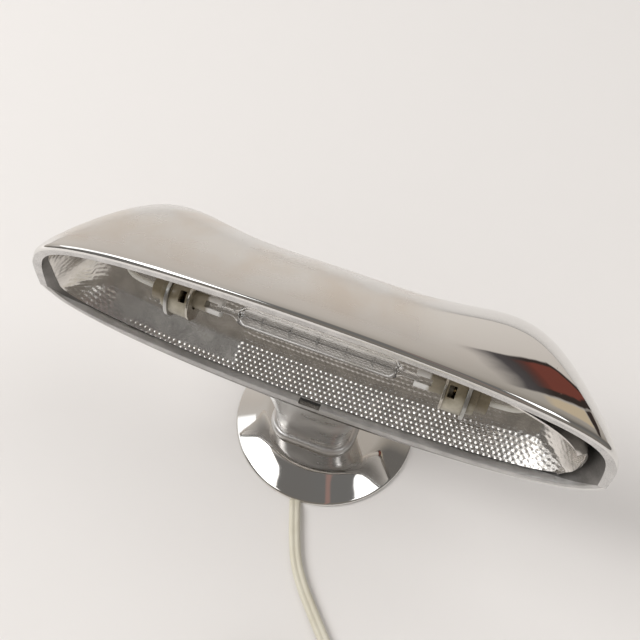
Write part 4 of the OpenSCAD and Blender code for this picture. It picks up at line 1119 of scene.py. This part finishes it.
# Each light's place, size and watts
lightSet = {"aim": (0, -60, 0), "lights": {"key": ((-1850, -1650, 300), 1300, 41.5),
                                           "fill": ((1500, -2200, 300), 1600, 12)}}


def lights(s):
    for name, (place, size, watts) in s["lights"].items():
        data = bpy.data.lights.new(name, "AREA")
        data.shape, data.size, data.energy = "SQUARE", size * mm, watts
        lamp = bpy.data.objects.new(name, data)
        bpy.context.scene.collection.objects.link(lamp)
        lamp.location = Vector(place) * mm
        lamp.rotation_mode = "QUATERNION"
        beam = Vector(s["aim"]) * mm - lamp.location
        lamp.rotation_quaternion = beam.to_track_quat("-Z", "Y")
        lamp.visible_glossy = False


# What stands beside the window, in degrees round the room and up from the horizon: a dark
# band between two sloping lines, a red panel on it, a beige cushion under it and a post.
# Each is bounded by soft edges: of what value, from where and to where.
cornerSet = {
    "wobble": 5, "scales": (3, 7), "top": 42.5, "falls": 0.26, "from": 68,
    "low": 18.2, "rises": 0.12, "leans": -0.7, "about": 20,
    "cushion": [("underLow", 0, 0.8), ("up", 17.5, 19), ("round", 42, 46), ("round", 75, 73)],
    "post": [("underLow", -0.5, 0.5), ("round", 74, 76), ("leaning", 84, 82)],
    "band": [("overLow", 0, 1), ("underTop", -0.5, 0.5), ("round", 30, 38), ("round", 107, 105)],
    "blacker": [("round", 38, 50)],
    "panel": [("overLow", 3.2, 4.2), ("underTop", 1.6, 2.4), ("round", 42, 52),
              ("round", 104, 101)],
    "dark": (0.085, 0.077, 0.078), "red": (0.175, 0.054, 0.04), "black": (0.04, 0.03, 0.026),
    "beige": (0.56, 0.46, 0.33),
}


def roomCorner(w, s, colour, x, y, z):
    up, across = ((w.blotches(w.place, scale, 3) - 0.5) * s["wobble"] for scale in s["scales"])
    degree = 180 / math.pi
    az = x.maths("ARCTAN2", x, y * -1) * degree + across
    el = z.maths("ARCSINE", z) * degree + up
    top = (az - s["from"]).larger(0) * -s["falls"] + s["top"]
    low = az * s["rises"] + s["low"]
    values = {"round": az, "up": el, "overLow": el - low, "underLow": low - el,
              "underTop": top - el, "leaning": az + (el - s["about"]) * s["leans"]}

    def mask(name):
        return math.prod(w.ramp(values[value], low, high) for value, low, high in s[name])

    colour = w.mixed(mask("cushion"), colour, s["beige"])
    colour = w.mixed(mask("post"), colour, s["black"])
    colour = w.mixed(mask("band"), colour, w.mixed(mask("blacker"), s["dark"], s["black"]))
    return w.mixed(mask("panel"), colour, s["red"])


# The room in the metal. Directions are unit vectors from the lamp. Sides are x over -y,
# heights are z.
studioSet = {
    "pale": (0.80, 0.77, 0.745), "fill": (0.49, 0.485, 0.48),
    "ceiling": [(0.1, (0.15, 0.14, 0.13)), (0.22, (0.31, 0.28, 0.245)),
                (0.35, (0.42, 0.385, 0.345)), (0.6, (0.59, 0.54, 0.495)),
                (0.75, (0.665, 0.615, 0.57)), (0.95, (0.74, 0.69, 0.64)),
                (1.0, (0.76, 0.71, 0.66))],
    "front": (-0.1, -0.3), "leftWall": (0.64, 0.605, 0.57), "leftSide": (-0.1, -0.4),
    "leftLow": (0, 0.12), "leftHigh": (0.6, 0.4),
    "room": (0.17, 0.165, 0.16), "roomSide": (-0.50, 0.38), "roomHigh": (0.13, 0.03),
    "under": (-0.23, -0.29), "deep": (-0.49, -0.61), "deepColour": (0.20, 0.183, 0.163),
    "streak": {"side": (0.05, 0.10), "colour": (0.36, 0.22, 0.19), "share": 0.8},
    # sides, heights and light
    "boxes": [((-0.92, -0.50), (-0.36, 0.40), 3.0), ((-2.4, -0.90), (0.0, 0.45), 1.5),
              ((0.38, 0.72), (-0.50, 0.02), 2.5)],
    "softRoom": 0.02, "softStreak": 0.01, "softBox": 0.015,
}


def studio(s):
    world = bpy.data.worlds.new("studio")
    bpy.context.scene.world = world
    world.use_nodes = True
    w = Nodes(world.node_tree, "Generated")
    x, y, z = (w.node("ShaderNodeSeparateXYZ", {}, {"Vector": w.place}, k) for k in "XYZ")
    front = w.ramp(y, *s["front"])
    side = x / (y * -1).larger(0.02)
    colour = w.node("ShaderNodeValToRGB", {"stops": s["ceiling"]}, {"Fac": z})
    left = w.ramp(side, *s["leftSide"]) * w.ramp(z, *s["leftLow"]) * w.ramp(z, *s["leftHigh"])
    colour = w.mixed(front * left, colour, s["leftWall"])
    low, under = w.ramp(z, *s["roomHigh"]), w.ramp(z, *s["under"])
    centre = w.within(side, *s["roomSide"], s["softRoom"])
    colour = w.mixed(front * (low * centre).larger(under), colour, s["room"])
    colour = w.mixed(w.ramp(z, *s["deep"]), colour, s["deepColour"])
    streak = s["streak"]
    mask = front * low * w.within(side, *streak["side"], s["softStreak"]) * streak["share"]
    colour = w.mixed(mask, colour, streak["colour"])
    for sides, heights, light in s["boxes"]:
        mask = w.within(side, *sides, s["softBox"]) * w.within(z, *heights, s["softBox"])
        colour = w.mixed(front * mask, colour, (light,) * 3)
    colour = roomCorner(w, cornerSet, colour, x, y, z)
    seen, shiny = (w.node("ShaderNodeLightPath", {}, {}, k)
                   for k in ("Is Camera Ray", "Is Glossy Ray"))
    final = w.mixed(seen, w.mixed(shiny, s["fill"], colour), s["pale"])
    join(w.tree, world.node_tree.nodes["Background"].inputs["Color"], final)


bpy.context.scene.view_settings.view_transform = "Standard"
makeCamera(cameraSet)
makeFinishes()
finishNodes()
supplyCord(cordSet)
cordInside(cordSet)
print("camera and cord made")
headHousing(headSet)
reflector(reflectorSet)
quartzLamp(lampSet)
leads(lampSet)
roundParts(smallParts)
print("lamp parts made")
neck(neckSet)
rose(roseSet)
print("castings made")
stage(stageSet)
lights(lightSet)
studio(studioSet)
print("stage made")
